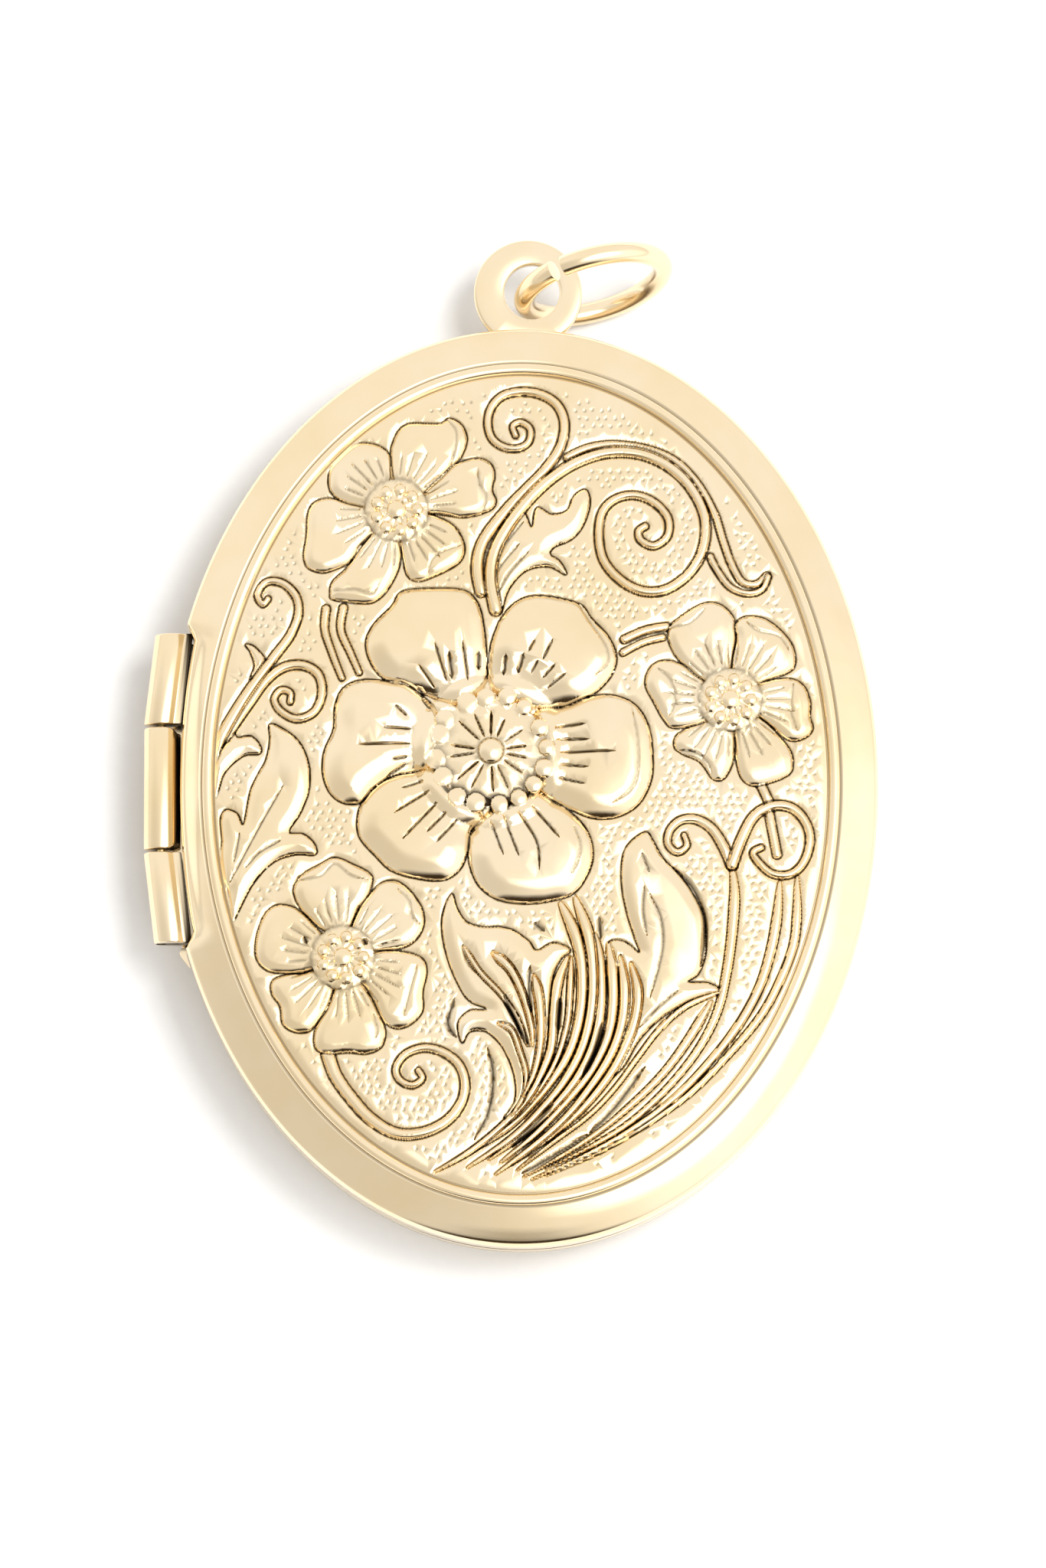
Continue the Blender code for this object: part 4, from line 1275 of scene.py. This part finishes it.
BAIL_X, BAIL_Y, BAIL_RADIUS = 0.27, 19.1, 2.06
EYE_X, EYE_Y, EYE_RADIUS = 0.42, 19.15, 1.05
BAIL_Z = (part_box("bail")[0].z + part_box("bail")[1].z) / 2 / MM
BAIL_SHEET = (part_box("bail")[1].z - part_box("bail")[0].z) / MM
BAIL_EASED = 0.12
SOLDER_GAP = 0.03


def bail_reach(turn):
    """From the eye's middle to the bail's outline: its own round, or the locket's wall."""
    across, up = np.cos(turn), np.sin(turn)
    x, y = EYE_X - BAIL_X, EYE_Y - BAIL_Y
    along = x * across + y * up
    to_round = -along + np.sqrt(along**2 + BAIL_RADIUS**2 - x * x - y * y)
    a, b = HALF_WIDTH + SOLDER_GAP, HALF_HEIGHT + SOLDER_GAP
    square = (across / a) ** 2 + (up / b) ** 2
    half = EYE_X * across / a**2 + EYE_Y * up / b**2
    inner = half**2 - square * ((EYE_X / a) ** 2 + (EYE_Y / b) ** 2 - 1)
    to_wall = np.where(
        (inner < 0) | (half > 0), np.inf, (-half - np.sqrt(np.maximum(inner, 0))) / square
    )
    return np.minimum(to_round, to_wall)


def on_bail(turn, row):
    """A row of the bail: (which edge, how far in from it, height from the sheet's middle)."""
    edge, inset, height = row
    reach = bail_reach(turn) - inset if edge == "outer" else EYE_RADIUS + inset
    return EYE_X + reach * np.cos(turn), EYE_Y + reach * np.sin(turn), BAIL_Z + height, 0.0


half_sheet = BAIL_SHEET / 2
turned_edge = [
    (BAIL_EASED * (1 - math.cos(a)), half_sheet - BAIL_EASED * (1 - math.sin(a)))
    for a in np.linspace(math.pi / 2, 0, 4)
]
outer_rows = [("outer", inset, height) for inset, height in turned_edge]
outer_rows += [("outer", inset, -height) for inset, height in turned_edge[::-1]]
eye_rows = [("eye", inset, -height) for inset, height in turned_edge]
eye_rows += [("eye", inset, height) for inset, height in turned_edge[::-1]]
bail = draw_up("Bail", 160, outer_rows + eye_rows, on_bail, joined=True)
bail.data.materials.append(plain_gold)
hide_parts("bail")
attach(bail, "back_half")


# Jump ring
# Round gold-filled wire, 0.8 mm thick, coiled and sawn to a ring, passed through the bail's eye
# and closed with pliers until its two cut ends almost meet.

RING_RADIUS, RING_WIRE = 2.71, 0.4
RING_TURN, RING_LEAN = math.radians(14.5), math.radians(12.5)
RING_CUT_AT, RING_CUT = 117, 9
RING_CENTRE = np.array((2.76, 19.42, 3.07))
RING_STEPS = 240

start_shaping()
bpy.ops.mesh.primitive_torus_add(
    major_segments=RING_STEPS,
    minor_segments=32,
    major_radius=RING_RADIUS * MM,
    minor_radius=RING_WIRE * MM,
)
jump_ring = bpy.context.object
jump_ring.name = jump_ring.data.name = "Jump_ring"
bpy.ops.object.mode_set(mode="EDIT")
bpy.ops.mesh.select_mode(type="FACE")
shape = bmesh.from_edit_mesh(jump_ring.data)
for face in shape.faces:
    middle = face.calc_center_median()
    angle = math.degrees(math.atan2(middle.y, middle.x))
    face.select_set(abs(angle - RING_CUT_AT) < RING_CUT / 2)
bmesh.update_edit_mesh(jump_ring.data)
bpy.ops.mesh.delete(type="FACE")
bpy.ops.mesh.select_mode(type="EDGE")
bpy.ops.mesh.select_non_manifold(extend=False)
bpy.ops.mesh.fill_holes(sides=0)
bpy.ops.mesh.bevel(offset=0.03 * MM, segments=2, affect="EDGES")
bpy.ops.mesh.select_all(action="SELECT")
bpy.ops.mesh.normals_make_consistent(inside=False)
along = np.array((math.cos(RING_TURN), math.sin(RING_TURN), 0))
lean, rise = math.sin(RING_LEAN), math.cos(RING_LEAN)
up = np.array((-along[1] * lean, along[0] * lean, rise))
shape = bmesh.from_edit_mesh(jump_ring.data)
for vert in shape.verts:
    vert.co = RING_CENTRE * MM + along * vert.co.x + up * vert.co.y + np.cross(along, up) * vert.co.z
bmesh.update_edit_mesh(jump_ring.data)
bpy.ops.object.mode_set(mode="OBJECT")
bpy.ops.object.shade_smooth_by_angle(angle=SHARP_ANGLE)
jump_ring.data.materials.append(plain_gold)
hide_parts("jump_ring")
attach(jump_ring, "jump_ring")
# The ring is kept out of reflections, so that none of it lies across the border.
jump_ring.visible_glossy = False


# Studio
# The locket lies on a plain white sweep under a white tent, lit by one big soft lamp from the
# right and a little above, and is seen from almost overhead through a long lens.

FLOOR_SIZE, FLOOR_GAP = 1200, 0.02
start_shaping()
bpy.ops.mesh.primitive_plane_add(size=FLOOR_SIZE * MM, location=(0, 0, -FLOOR_GAP * MM))
floor = bpy.context.object
floor.name = "Floor"
sweep_paper, shader, in_mm = new_material("white_paper_sweep")
tooth = add_node(
    sweep_paper, "ShaderNodeTexNoise", inputs={"Vector": in_mm, "Scale": 1 / 0.4, "Detail": 4.0}
)
sweep_tone = add_node(
    sweep_paper,
    "ShaderNodeMix",
    {"data_type": "RGBA"},
    {0: tooth.outputs["Fac"], 6: linear("#E9E9E9"), 7: linear("#E5E5E5")},
)
set_input(sweep_paper, shader, "Base Color", sweep_tone.outputs[2])
set_input(sweep_paper, shader, "Roughness", 0.9)
floor.data.materials.append(sweep_paper)

# The tent as the gold sees it: white, brightest to the lower right, dim and warm to the lower
# left, and open and dark low down in front, which draws the dark lines on slopes that face that
# way. Each patch is (towards, where it starts and is full as a cosine, its light).
TENT_WHITE = (1.06, 1.06, 1.06, 1)
TENT_PATCHES = (
    ((-0.6, -0.5, 0.62), 0.6, 0.98, (0.78, 0.76, 0.72, 1)),
    ((0.8, -0.3, 0.5), 0.72, 0.95, (1.4, 1.4, 1.4, 1)),
    ((0.38, -0.27, 0.885), 0.86, 0.975, (2.7, 2.7, 2.7, 1)),
    ((0.0, -1.0, 0.12), 0.86, 0.96, (0.04, 0.025, 0.01, 1)),
    ((0.0, 0.0, -1.0), -0.12, 0.1, (0.45, 0.43, 0.4, 1)),
)
world = bpy.data.worlds.new("white_tent")
bpy.context.scene.world = world
world.use_nodes = True
towards = add_node(world, "ShaderNodeTexCoord").outputs["Generated"]
tent_light = add_node(world, "ShaderNodeRGB").outputs["Color"]
tent_light.default_value = TENT_WHITE
for way, start, full, light in TENT_PATCHES:
    lean_to = np.array(way) / np.linalg.norm(way)
    facing = add_node(
        world,
        "ShaderNodeVectorMath",
        {"operation": "DOT_PRODUCT"},
        {0: towards, 1: tuple(lean_to)},
    )
    share = add_node(
        world,
        "ShaderNodeMapRange",
        {"interpolation_type": "SMOOTHSTEP"},
        {"Value": facing.outputs["Value"], "From Min": start, "From Max": full},
    )
    patch = add_node(
        world,
        "ShaderNodeMix",
        {"data_type": "RGBA"},
        {0: share.outputs["Result"], 6: tent_light, 7: light},
    )
    tent_light = patch.outputs[2]
world.node_tree.links.new(tent_light, world.node_tree.nodes["Background"].inputs["Color"])


def soft_lamp(name, place, size, power):
    """A square soft lamp, place in millimetres, aimed at the locket."""
    lamp = bpy.data.lights.new(name, "AREA")
    lamp.shape = "SQUARE"
    lamp.size = size * MM
    lamp.energy = power
    holder = bpy.data.objects.new(name, lamp)
    bpy.context.scene.collection.objects.link(holder)
    holder.location = np.array(place) * MM
    holder.rotation_euler = (-holder.location).to_track_quat("-Z", "Y").to_euler()
    return holder


key_lamp = soft_lamp("key_lamp", (170, 70, 420), 170, 1.3)
# The lamp stands outside the tent: it draws the shadow, and the gold sees only the tent.
key_lamp.visible_glossy = False

CAMERA_ELEVATION = math.radians(82)
CAMERA_DISTANCE = 500
VIEW_HEIGHT = 59.25
AIM = (0.08, 0.65, 0)
SENSOR = 36
RIM_HEIGHT = 4.0
camera = bpy.data.cameras.new("camera")
camera.sensor_width = SENSOR
camera.lens = SENSOR * (CAMERA_DISTANCE - RIM_HEIGHT) / VIEW_HEIGHT
tripod = bpy.data.objects.new("camera", camera)
bpy.context.scene.collection.objects.link(tripod)
tripod.location = (
    AIM[0] * MM,
    (AIM[1] - CAMERA_DISTANCE * math.cos(CAMERA_ELEVATION)) * MM,
    (AIM[2] + CAMERA_DISTANCE * math.sin(CAMERA_ELEVATION)) * MM,
)
tripod.rotation_euler = (math.pi / 2 - CAMERA_ELEVATION, 0, 0)
bpy.context.scene.camera = tripod
bpy.context.scene.view_settings.view_transform = "Standard"
